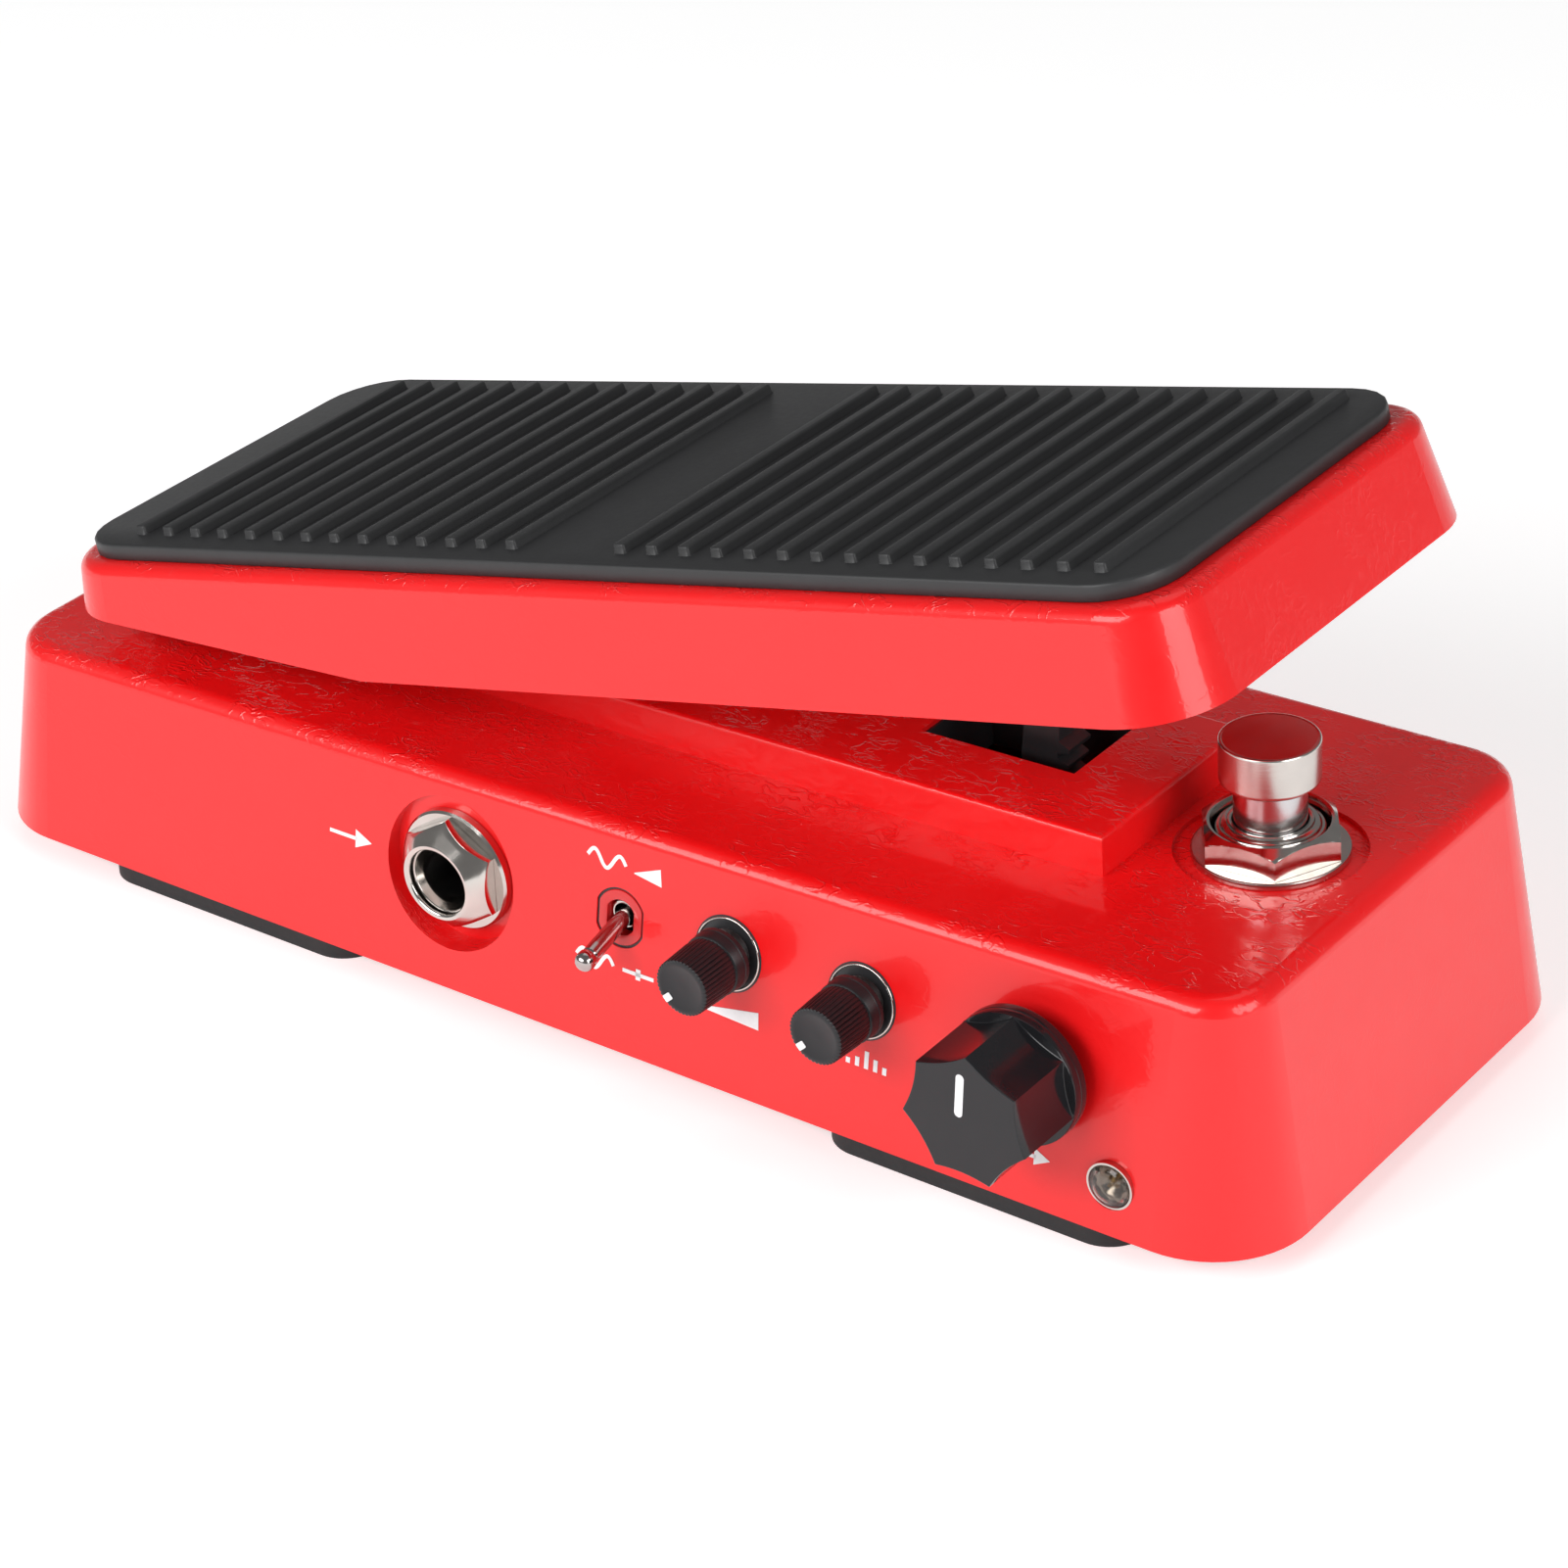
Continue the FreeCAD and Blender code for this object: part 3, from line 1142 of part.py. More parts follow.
# ---------------------------------------------------------------- jacks, inlet, toggle, knobs, lamp
def make_jack(prefix, place, at):
    """A panel jack: a box inside the wall, a threaded nose through it and a flanged cone nut."""
    inside = f"-({S.jack_depth} + {S.boss_depth})"
    tip = f"{S.jack_nose} - 0.8"
    thread = place(ring(f"{prefix}_nose", S.jack_bore, S.jack_thread, inside, tip), at, S.jack_up)
    node(thread, f"{prefix}_jack_nose")
    case = block(f"{prefix}_case", 15, 12.6, 21, down=True)
    place(case, at, S.jack_up, inside)
    tunnel = rod(f"{prefix}_tunnel", S.jack_bore, -19, 2)
    place(tunnel, at, S.jack_up, inside)
    node(cut(f"{prefix}_hollow", case, [tunnel]), f"{prefix}_jack_body")
    low = f"-{S.jack_depth}"
    seat = f"{low} + 1.2"
    flange = rod(f"{prefix}_flange", S.jack_flange, low, seat)
    flats = f"{S.jack_flange} * 2 * 0.845"
    mouth = f"{S.jack_bore} + 0.5"
    face = f"{mouth} + 0.45"
    cone = f"{S.jack_nose} - ({seat}) - 0.7"
    hexagon = hex_nut(f"{prefix}_hex", flats, mouth, seat, S.jack_nose, face, cone)
    whole = fuse(f"{prefix}_nut", [flange, hexagon])
    bore = rod(f"{prefix}_nut_bore", S.jack_thread, f"{low} - 1", tip)
    node(place(cut(f"{prefix}_nut_cut", whole, [bore]), at, S.jack_up), f"{prefix}_jack_nut")


def make_power_inlet():
    """A barrel socket with a rim in the back wall's recess and a centre pin that stays inside."""
    at = S.power_at
    up = S.jack_up
    seat = f"-{S.jack_depth}"
    mouth = f"{seat} - {S.power_mouth} + 1"
    throat = f"{S.power_bore} + 0.3"
    profile = [
        (throat, f"{seat} - 9"),
        (5.5, f"{seat} - 9"),
        (5.5, seat),
        (7.0, seat),
        (7.0, f"{seat} + 1"),
        (S.power_bore, f"{seat} + 1"),
        (S.power_bore, mouth),
        (throat, mouth),
    ]
    node(put_on_back(turned("inlet_shell", profile), at, up), "power_inlet")
    floor = rod("inlet_floor", throat, f"{seat} - 9", f"{seat} - 8")
    post = rod("inlet_post", 1.05, f"{seat} - 8.5", f"{mouth} - 0.5", 0.3)
    node(put_on_back(fuse("inlet_contact", [floor, post]), at, up), "power_pin")


def make_toggle():
    """A small lever switch: a box inside, a short flat-sided bush, and a lever that tips up and down."""
    at = S.toggle_at
    up = S.toggle_up
    inside = f"-({S.base_wall} + 1.2)"
    case = block("toggle_case", 12, 7.6, 8, down=True)
    put_on_panel(case, at, up, inside)
    well = block("toggle_well", 2.8, 5.2, 4)
    put_on_panel(well, at, up, f"{inside} - 3.5")
    node(cut("toggle_box", case, [well]), "toggle_switch_body")
    sleeve = flat_sided("toggle_sleeve", 3.12, 5.64, f"-{S.base_wall} - 0.1", -0.35)
    put_on_wall(sleeve, at, up)
    throat = rod("toggle_throat", 1.85, f"{inside} - 1", 1)
    put_on_panel(throat, at, up)
    node(cut("toggle_nose", sleeve, [throat]), "toggle_bush")
    pivot = -1.5
    reach = f"({S.lever_reach} - ({pivot}))"
    tip = S.lever_radius
    lever = turned(
        "lever",
        [
            (0, -4),
            (0.7, -4),
            (0.85, -1),
            (f"{tip} * 0.85", 2.0),
            (f"{tip} * 0.85", f"{reach} - 1.8"),
            (tip, f"{reach} - 1.1"),
            (f"{tip} * 0.87", f"{reach} - 0.5"),
            (f"{tip} * 0.5", f"{reach} - 0.12"),
            (0, reach),
        ],
    )
    across = f"-{wall_at(up)} - ({pivot})"
    angle = f"90 + {S.toggle_tilt}"
    node(put(lever, at, across, f"{S.foot_thickness} + {up}", (1, 0, 0), angle), "toggle_lever")


def make_knob_pot(name, at, up, height):
    """A small potentiometer behind the wall, and its shaft up into the knob."""
    inside = f"-{S.base_wall} - 1.3"
    case = block(f"{name}_case", 9.6, 9.8, 6.5, down=True)
    put_on_panel(case, at, up, inside)
    neck = rod(f"{name}_neck", 3.1, f"{inside} - 0.5", "-0.5")
    put_on_panel(neck, at, up)
    bore = rod(f"{name}_bore", f"{S.knob_shaft} + {S.running_gap}", f"{inside} - 3", 1)
    put_on_panel(bore, at, up)
    node(cut(f"{name}_drilled", fuse(f"{name}_pot", [case, neck]), [bore]), f"{name}_pot_body")
    shaft = rod(f"{name}_rod", S.knob_shaft, f"{inside} - 2.9", f"({height}) - 2")
    node(put_on_panel(shaft, at, up), f"{name}_pot_shaft")


def make_small_knob(name, at, up):
    """A slim knurled knob on a wider flange, with fine upright flutes."""
    low = knob_foot(S.small_flange)
    body = turned(
        f"{name}_knob_body",
        [
            (0, low),
            (S.small_flange, low),
            (S.small_flange, f"{low} + 0.9"),
            (f"{S.small_radius} + 0.25", f"{low} + 1.3"),
            (S.small_radius, f"{S.small_height} - 0.4"),
            (f"{S.small_radius} - 0.4", S.small_height),
            (0, S.small_height),
        ],
    )
    sketch = new_sketch(body, f"{name}_flute_outline", offset=f"{low} + 1.5")
    near = f"{S.small_radius} - 0.12"
    far = f"{S.small_radius} + 1.0"
    draw_polygon(sketch, [(near, 0), (far, -0.75), (far, 0.75)])
    flute = pocket(body, sketch, f"{name}_flute", S.small_height, down=False)
    row = body.newObject("PartDesign::PolarPattern", f"{name}_flutes")
    row.Originals = [flute]
    row.Axis = (sketch, ["N_Axis"])
    row.Angle = 360
    row.Occurrences = 18
    body.Tip = row
    doc.recompute()
    put_on_panel(body, at, up)
    bore = rod(f"{name}_knob_bore", S.knob_shaft, 0, f"{S.small_height} - 2")
    put_on_panel(bore, at, up)
    node(cut(f"{name}_knob_cut", body, [bore]), f"{name}_knob")


def make_range_knob():
    """A large seven-sided knob on a round skirt."""
    at = S.range_at
    up = S.range_up
    low = knob_foot(S.range_skirt)
    sides = 7
    skirt = rod("range_skirt_disc", S.range_skirt, low, f"{low} + 2.1", 0.25)
    prism = doc.addObject("Part::Prism", "range_prism")
    prism.Polygon = sides
    prism.setExpression("Circumradius", f"{S.range_corner} + 0.05")
    prism.setExpression("Height", f"{S.range_height} - ({low})")
    prism.Placement = Placement(Vector(), Rotation(Vector(0, 0, 1), 35.8))
    prism.setExpression("Placement.Base.z", f"{low}")
    cone = turned(
        "range_cone",
        [
            (0, low),
            (f"{S.range_corner} + 0.5", low),
            (f"{S.range_corner} + 0.1", f"{S.range_height} - 0.3"),
            (f"{S.range_corner} - 0.15", S.range_height),
            (0, S.range_height),
        ],
    )
    both = doc.addObject("Part::Common", "range_grip")
    both.Base = prism
    both.Tool = cone
    doc.recompute()
    whole = fuse("range_whole", [skirt, both])
    put_on_panel(whole, at, up)
    bore = rod("range_bore", S.knob_shaft, 0, f"{S.range_height} - 2")
    put_on_panel(bore, at, up)
    node(cut("range_cut", whole, [bore]), "range_knob")


def make_lamp():
    at = S.lamp_at
    up = S.lamp_up
    rim = S.lamp_radius
    profile = [(0, -4.6), (rim, -4.6), (rim, 0.35)]
    profile += [(f"{rim} * 0.8", 0.85), (f"{rim} * 0.4", 1.1), (0, 1.1)]
    lens = turned("lamp_dome", profile)
    node(put_on_panel(lens, at, up), "lamp_lens")
    hoop = ring("lamp_hoop", f"{rim} + 0.02", f"{rim} + 0.24", -2.0, 0.3)
    node(put_on_panel(hoop, at, up), "lamp_ring")


# ---------------------------------------------------------------- circuit board
def make_board():
    length, thickness = 32, 1.6
    half_width = f"({S.base_width} / 2 - {S.post_inset} - {S.post_radius} - 2.05)"
    at = -60
    lift = f"({S.plate_thickness} + 5)"
    board = block("board", length, f"2 * {half_width}", thickness)
    put_on_base(board, at, 0, lift)
    posts = []
    screws = []
    holes = []
    for i, (sx, sy) in enumerate(SCREW_POSTS):
        along = f"{at} + {sx} * {length / 2 - 4}"
        across = f"{sy} * ({half_width} - 4)"
        post = ring(f"standoff{i}", 1.0, 2.2, S.plate_thickness, lift)
        posts.append(put_on_base(post, along, across))
        hole = rod(f"board_hole{i}", 1.3, -1, 3)
        holes.append(put_on_base(hole, along, across, lift))
        profile = [(0, -3), (1.0, -3), (1.0, thickness), (1.9, thickness), (1.9, thickness + 1.2)]
        profile += [(0, thickness + 1.2)]
        screws.append(put_on_base(turned(f"board_screw{i}", profile), along, across, lift))
    node(cut("board_drilled", board, holes), "circuit_board")
    node(group("standoffs", posts), "board_standoffs")
    node(group("board_screws", screws), "board_screws")


def check_and_write():
    doc.recompute()
    for item in doc.Objects:
        if "Invalid" in item.State or "Error" in item.State:
            raise RuntimeError(f"{item.Name} failed: {item.State}")
    os.makedirs("parts", exist_ok=True)
    for piece in made:
        shape = piece.Shape
        if shape.isNull() or not shape.isValid():
            raise RuntimeError(f"{piece.Label} has no valid shape")
        shape.exportStep(f"parts/{piece.Label}.step")
        print(f"{piece.Label:24s} solids {len(shape.Solids)}  volume {shape.Volume:10.1f}")


if __name__ == "__main__":
    make_base()
    make_bottom()
    make_feet()
    make_treadle()
    make_mat()
    make_pivot()
    make_bracket()
    make_bumpers()
    make_arm()
    make_pinion()
    make_pedal_pot()
    make_stomp()
    make_jack("input", put_on_panel, S.jack_at)
    make_jack("output", put_on_back, S.out_jack_at)
    make_power_inlet()
    make_toggle()
    for knob, along, height in knob_places():
        reach = S.range_height if knob == "range" else S.small_height
        make_knob_pot(knob, along, height, reach)
    make_small_knob("level", S.level_at, S.small_up)
    make_small_knob("quality", S.quality_at, S.small_up)
    make_range_knob()
    make_lamp()
    make_board()
    check_and_write()
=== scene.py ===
import json
import bpy
import numpy as np
from mathutils import Matrix, Vector


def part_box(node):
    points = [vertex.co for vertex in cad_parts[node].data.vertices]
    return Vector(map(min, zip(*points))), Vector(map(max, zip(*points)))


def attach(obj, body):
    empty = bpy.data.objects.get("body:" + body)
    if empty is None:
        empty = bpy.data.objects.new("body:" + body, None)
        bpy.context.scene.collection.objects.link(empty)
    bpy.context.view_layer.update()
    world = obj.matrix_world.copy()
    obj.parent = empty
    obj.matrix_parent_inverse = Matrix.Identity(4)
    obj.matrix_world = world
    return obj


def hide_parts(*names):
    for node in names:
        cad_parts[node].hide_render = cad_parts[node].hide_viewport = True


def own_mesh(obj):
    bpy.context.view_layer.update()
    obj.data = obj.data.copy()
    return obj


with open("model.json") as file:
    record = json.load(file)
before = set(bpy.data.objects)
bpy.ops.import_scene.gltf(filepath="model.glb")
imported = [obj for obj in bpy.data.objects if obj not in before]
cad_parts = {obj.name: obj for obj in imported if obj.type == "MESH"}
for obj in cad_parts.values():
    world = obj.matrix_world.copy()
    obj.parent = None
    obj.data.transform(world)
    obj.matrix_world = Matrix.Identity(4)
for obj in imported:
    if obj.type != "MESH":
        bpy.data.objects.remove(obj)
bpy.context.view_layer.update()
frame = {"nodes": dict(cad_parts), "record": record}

nodes = frame["nodes"]
mm = 0.001  # metres
print("frame loaded:", len(nodes), "nodes")


# places, read off the CAD boxes

def boxOf(node):
    low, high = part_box(node)
    return np.array(low), np.array(high)


def middleOf(node):
    low, high = boxOf(node)
    return (low + high) / 2


middleLine = middleOf("base_casting")[1]  # the pedal's own middle, front to back
footThickness = boxOf("heel_foot")[1][2]

body = {
    "width": 66.5 * mm,       # base at its lower edge
    "length": 168 * mm,
    "lean": np.radians(9.0),  # draft of the outer walls
    "heelHeight": 22.0 * mm,
    "toeHeight": 26.9 * mm,
}
treadle = {
    "tilt": np.radians(13.2),
    "pivotAt": -22.0 * mm,
    "pivotHeight": 38.4 * mm,
}
deckSlope = np.arctan((body["toeHeight"] - body["heelHeight"]) / body["length"])


# a frame is (origin, x axis, y axis, z axis); z points out of the surface a piece sits on;
# places given to these functions are in mm: along the pedal, up or across it, and out of the surface

def panelFrame(at, up, out=0.0):
    # level with the floor, through the point of the front wall at this height
    at, up, out = at * mm, up * mm, out * mm
    y = -(body["width"] / 2 - up * np.tan(body["lean"])) - out + middleLine
    origin = np.array([at, y, footThickness + up])
    return origin, np.array([1.0, 0, 0]), np.array([0, 0, 1.0]), np.array([0, -1.0, 0])


def wallFrame(at, up, out=0.0):
    # flat on the sloping front wall, y running up along the wall
    at, up, out = at * mm, up * mm, out * mm
    lean = body["lean"]
    normal = np.array([0, -np.cos(lean), np.sin(lean)])
    along = np.array([0, np.sin(lean), np.cos(lean)])
    foot = np.array([at, -body["width"] / 2 + middleLine, footThickness])
    return foot + along * up / np.cos(lean) + normal * out, np.array([1.0, 0, 0]), along, normal


def deckFrame(at, across=0.0, out=0.0):
    # on the deck, which climbs towards the toe
    at, across, out = at * mm, across * mm, out * mm
    middleHeight = (body["toeHeight"] + body["heelHeight"]) / 2
    z = footThickness + middleHeight + at * np.tan(deckSlope)
    c, s = np.cos(deckSlope), np.sin(deckSlope)
    normal = np.array([-s, 0, c])
    origin = np.array([at, middleLine + across, z]) + normal * out
    return origin, np.array([c, 0, s]), np.array([0, 1.0, 0]), normal


def backFrame(at, up, out=0.0):
    # as panelFrame, facing out of the back wall
    at, up, out = at * mm, up * mm, out * mm
    y = body["width"] / 2 - up * np.tan(body["lean"]) + out + middleLine
    origin = np.array([at, y, footThickness + up])
    return origin, np.array([-1.0, 0, 0]), np.array([0, 0, 1.0]), np.array([0, 1.0, 0])


def treadleFrame(along, across=0.0, out=0.0):
    # counted from the pivot axis, x up the treadle towards the toe, z out of its top
    along, across, out = along * mm, across * mm, out * mm
    c, s = np.cos(treadle["tilt"]), np.sin(treadle["tilt"])
    x, z = np.array([c, 0, s]), np.array([-s, 0, c])
    foot = np.array([treadle["pivotAt"], middleLine + across, treadle["pivotHeight"]])
    return foot + x * along + z * out, x, np.array([0, 1.0, 0]), z


def turnFrame(where, degrees):
    # the same frame turned about its own z axis
    origin, x, y, z = where
    c, s = np.cos(np.radians(degrees)), np.sin(np.radians(degrees))
    return origin, c * x + s * y, c * y - s * x, z


# mesh makers, all as whole arrays

def toMesh(name, points, faces, material, smooth=True):
    mesh = bpy.data.meshes.new(name)
    points = np.asarray(points, dtype=np.float32)
    sizes = np.array([len(f) for f in faces], dtype=np.int32)
    loops = np.concatenate([np.asarray(f, dtype=np.int32) for f in faces])
    mesh.vertices.add(len(points))
    mesh.vertices.foreach_set("co", points.ravel())
    mesh.loops.add(len(loops))
    mesh.loops.foreach_set("vertex_index", loops)
    mesh.polygons.add(len(sizes))
    mesh.polygons.foreach_set("loop_start", np.concatenate([[0], np.cumsum(sizes)[:-1]]).astype(np.int32))
    mesh.polygons.foreach_set("loop_total", sizes)
    mesh.polygons.foreach_set("use_smooth", np.full(len(sizes), smooth))
    mesh.update()
    mesh.validate()
    piece = bpy.data.objects.new(name, mesh)
    bpy.context.scene.collection.objects.link(piece)
    mesh.materials.append(material)
    return piece


def wholeTurn(count):
    return np.linspace(0, 2 * np.pi, count, endpoint=False)


def inFrame(where, local):
    origin, x, y, z = where
    local = np.asarray(local)
    return origin + local[..., 0:1] * x + local[..., 1:2] * y + local[..., 2:3] * z


def gridFaces(rows, columns):
    # quads between row i and i + 1; the last column meets the first
    i, j = np.meshgrid(np.arange(rows - 1), np.arange(columns), indexing="ij")
    k = (j + 1) % columns
    quads = np.stack([i * columns + j, i * columns + k, (i + 1) * columns + k, (i + 1) * columns + j], -1)
    return list(quads.reshape(-1, 4))


def sharpen(piece, degrees=30):
    # a crisp edge wherever two faces meet at more than this angle
    piece.data.set_sharp_from_angle(angle=np.radians(degrees))
    return piece


def withSupports(profile, near=0.05, longer=0.4):
    # two more points close to the ends of every long run keep its shading flat
    a, b = profile[:-1], profile[1:]
    run = np.linalg.norm(b - a, axis=1, keepdims=True)
    step = (b - a) * np.minimum(near / np.maximum(run, 1e-9), 0.3)
    rows = np.stack([a, a + step, b - step], 1)
    keep = np.column_stack([np.ones(len(a), bool), run > longer, run > longer])
    return np.concatenate([rows[keep], profile[-1:]])


def turnedFaces(rows, segments, closed):
    faces = gridFaces(rows, segments)
    if closed:  # the last row joins the first, as on a ring
        last = (rows - 1) * segments
        j = np.arange(segments)
        k = (j + 1) % segments
        return faces + list(np.stack([last + j, last + k, k, j], -1))
    return faces + [np.arange(segments)[::-1], np.arange(segments) + (rows - 1) * segments]


def roundAxis(name, where, theta, rows, material, closed=False, degrees=30):
    # rows of (radius, height) carried round the frame's z axis: x is radius times cosine,
    # y radius times sine; each radius and height is one number, or one for every angle
    radius, height = (np.stack([np.broadcast_to(row[i], theta.shape) for row in rows]) * mm for i in (0, 1))
    local = np.stack([radius * np.cos(theta), radius * np.sin(theta), height], -1).reshape(-1, 3)
    faces = turnedFaces(len(rows), len(theta), closed)
    return sharpen(toMesh(name, inFrame(where, local), faces, material), degrees)


def turnedPiece(name, where, profile, material, segments=96, closed=False):
    # a plain profile of (radius, height) pairs; it ends on the axis, or closes on itself as a ring
    rows = withSupports(np.asarray(profile, dtype=float))
    return roundAxis(name, where, wholeTurn(segments), rows, material, closed)


# finishes

def newFinish(name, colour, roughness, metallic=0.0, coat=0.0, coatRoughness=0.1, specular=0.5):
    finish = bpy.data.materials.new(name)
    finish.use_nodes = True
    tree = finish.node_tree
    shader = tree.nodes["Principled BSDF"]
    shader.inputs["Base Color"].default_value = (*colour, 1)
    shader.inputs["Roughness"].default_value = roughness
    shader.inputs["Metallic"].default_value = metallic
    shader.inputs["Coat Weight"].default_value = coat
    shader.inputs["Coat Roughness"].default_value = coatRoughness
    shader.inputs["Specular IOR Level"].default_value = specular
    return finish, tree, shader


def add(tree, kind, **settings):
    item = tree.nodes.new(kind)
    for key, value in settings.items():
        if hasattr(item, key):
            setattr(item, key, value)
        else:
            item.inputs[key].default_value = value
    return item


def noise(tree, scale, detail=3.0, rough=0.5, distortion=0.0, stretch=None):
    item = add(tree, "ShaderNodeTexNoise", Scale=scale, Detail=detail, Roughness=rough, Distortion=distortion)
    place = add(tree, "ShaderNodeTexCoord").outputs["Object"]
    if stretch is not None:
        mapping = add(tree, "ShaderNodeMapping")
        mapping.inputs["Scale"].default_value = stretch
        tree.links.new(place, mapping.inputs["Vector"])
        place = mapping.outputs["Vector"]
    tree.links.new(place, item.inputs["Vector"])
    return item.outputs["Fac"]


def spread(tree, source, low, high, fromLow=0.0, fromHigh=1.0):
    # the source's run from fromLow to fromHigh laid out between low and high
    item = add(tree, "ShaderNodeMapRange")
    item.inputs["From Min"].default_value = fromLow
    item.inputs["From Max"].default_value = fromHigh
    item.inputs["To Min"].default_value = low
    item.inputs["To Max"].default_value = high
    tree.links.new(source, item.inputs["Value"])
    return item.outputs["Result"]


def math(tree, operation, *values):
    item = add(tree, "ShaderNodeMath", operation=operation)
    for place, value in zip(item.inputs, values):
        if isinstance(value, (int, float)):
            place.default_value = value
        else:
            tree.links.new(value, place)
    return item.outputs[0]


def blend(tree, amount, first, second):
    item = add(tree, "ShaderNodeMix", data_type="RGBA")
    amountSocket, firstSocket, secondSocket = (item.inputs[i] for i in (0, 6, 7))  # its colour sockets
    firstSocket.default_value = (*first, 1)
    secondSocket.default_value = (*second, 1)
    tree.links.new(amount, amountSocket)
    return item.outputs[2]


def bump(tree, shader, height, strength, distance, under=None):
    item = add(tree, "ShaderNodeBump", Strength=strength, Distance=distance)
    tree.links.new(height, item.inputs["Height"])
    if under is not None:
        tree.links.new(under, item.inputs["Normal"])
    tree.links.new(item.outputs["Normal"], shader.inputs["Normal"])
    return item.outputs["Normal"]


paint = {
    "colour": (0.80, 0.004, 0.006), "warmer": (0.86, 0.008, 0.009),
    "coat": 0.55, "coatRoughness": 0.07, "specular": 0.3, "roughness": (0.28, 0.44),
    "wrinkleSize": 560.0,     # wrinkles per metre
    "wrinkleWidth": 0.055,
    "wrinkleDepth": 0.00008,
    "finer": (1.9, 1.6),      # the second, finer layer: times as many, times as wide
    "patchSize": 190.0, "patchEdges": (0.42, 0.60),      # loose patches where wrinkles show
    "finePatchSize": 130.0, "finePatchEdges": (0.48, 0.64), "fineShare": 0.5,
    "onWalls": 0.07,          # share of the wrinkles left on upright walls
    "peelSize": 900.0, "peelStrength": 0.12, "peelDepth": 0.00006,
}


def wrinkleLines(tree, size, width, stretch):
    # thin squiggles: the places where a noise crosses its middle value
    crest = noise(tree, size, 1.5, 0.5, 0.8, stretch)
    away = math(tree, "ABSOLUTE", math(tree, "SUBTRACT", crest, 0.5))
    line = add(tree, "ShaderNodeMapRange", interpolation_type="SMOOTHSTEP")
    line.inputs["From Max"].default_value = width
    line.inputs["To Min"].default_value = 1.0
    line.inputs["To Max"].default_value = 0.0
    tree.links.new(away, line.inputs["Value"])
    return line.outputs["Result"]


def paintFinish():
    p = paint
    finish, tree, shader = newFinish("redPaint", p["colour"], p["roughness"][0], 0.0, p["coat"],
                                     p["coatRoughness"], p["specular"])
    # colour drifts very slightly, as sprayed enamel does
    tree.links.new(blend(tree, noise(tree, 40.0, 2.0), p["colour"], p["warmer"]), shader.inputs["Base Color"])
    # wrinkles show most on the faces that look up and in loose patches
    more, wider = p["finer"]
    lines = wrinkleLines(tree, p["wrinkleSize"], p["wrinkleWidth"], (0.7, 1.25, 1.0))
    finer = wrinkleLines(tree, p["wrinkleSize"] * more, p["wrinkleWidth"] * wider, (0.8, 1.2, 1.0))
    facing = add(tree, "ShaderNodeSeparateXYZ")
    tree.links.new(add(tree, "ShaderNodeNewGeometry").outputs["Normal"], facing.inputs["Vector"])
    upward = spread(tree, facing.outputs["Z"], p["onWalls"], 1.0, 0.45, 0.97)
    patch = spread(tree, noise(tree, p["patchSize"], 2.0), 0.0, 1.0, *p["patchEdges"])
    finePatch = spread(tree, noise(tree, p["finePatchSize"], 2.0), 0.0, p["fineShare"], *p["finePatchEdges"])
    both = math(tree, "ADD", math(tree, "MULTIPLY", lines, patch), math(tree, "MULTIPLY", finer, finePatch))
    height = math(tree, "MULTIPLY", both, upward)
    peel = bump(tree, shader, noise(tree, p["peelSize"], 1.0), p["peelStrength"], p["peelDepth"])
    normal = bump(tree, shader, height, 1.0, p["wrinkleDepth"], peel)
    tree.links.new(normal, shader.inputs["Coat Normal"])
    tree.links.new(spread(tree, noise(tree, 260.0), *p["roughness"]), shader.inputs["Roughness"])
    return finish


def speckledFinish(name, colour, roughness, size, depth, metallic=0.0, coat=0.0, stretch=None, specular=0.5):
    # one grain moves the roughness between its two values and raises the surface;
    # a coarser one shades the colour
    finish, tree, shader = newFinish(name, colour, roughness[0], metallic, coat, specular=specular)
    grain = noise(tree, size, 4.0, 0.6, stretch=stretch)
    tree.links.new(spread(tree, grain, *roughness), shader.inputs["Roughness"])
    darker = [c * 0.82 for c in colour]
    lighter = [min(1.0, c * 1.12) for c in colour]
    tree.links.new(blend(tree, noise(tree, size * 0.25), darker, lighter), shader.inputs["Base Color"])
    bump(tree, shader, grain, 0.3, depth)
    return finish


def lampFinish():
    finish, tree, shader = newFinish("clearLamp", (0.50, 0.47, 0.43), 0.06)
    shader.inputs["Transmission Weight"].default_value = 1.0
    shader.inputs["IOR"].default_value = 1.45
    tree.links.new(spread(tree, noise(tree, 900.0), 0.04, 0.12), shader.inputs["Roughness"])
    return finish


def whiteInk():
    finish, tree, shader = newFinish("whiteInk", (0.86, 0.86, 0.87), 0.45)
    grain = noise(tree, 2500.0, 3.0)
    tree.links.new(blend(tree, grain, (0.80, 0.79, 0.80), (0.90, 0.90, 0.91)), shader.inputs["Base Color"])
    bump(tree, shader, grain, 0.2, 0.00002)
    return finish


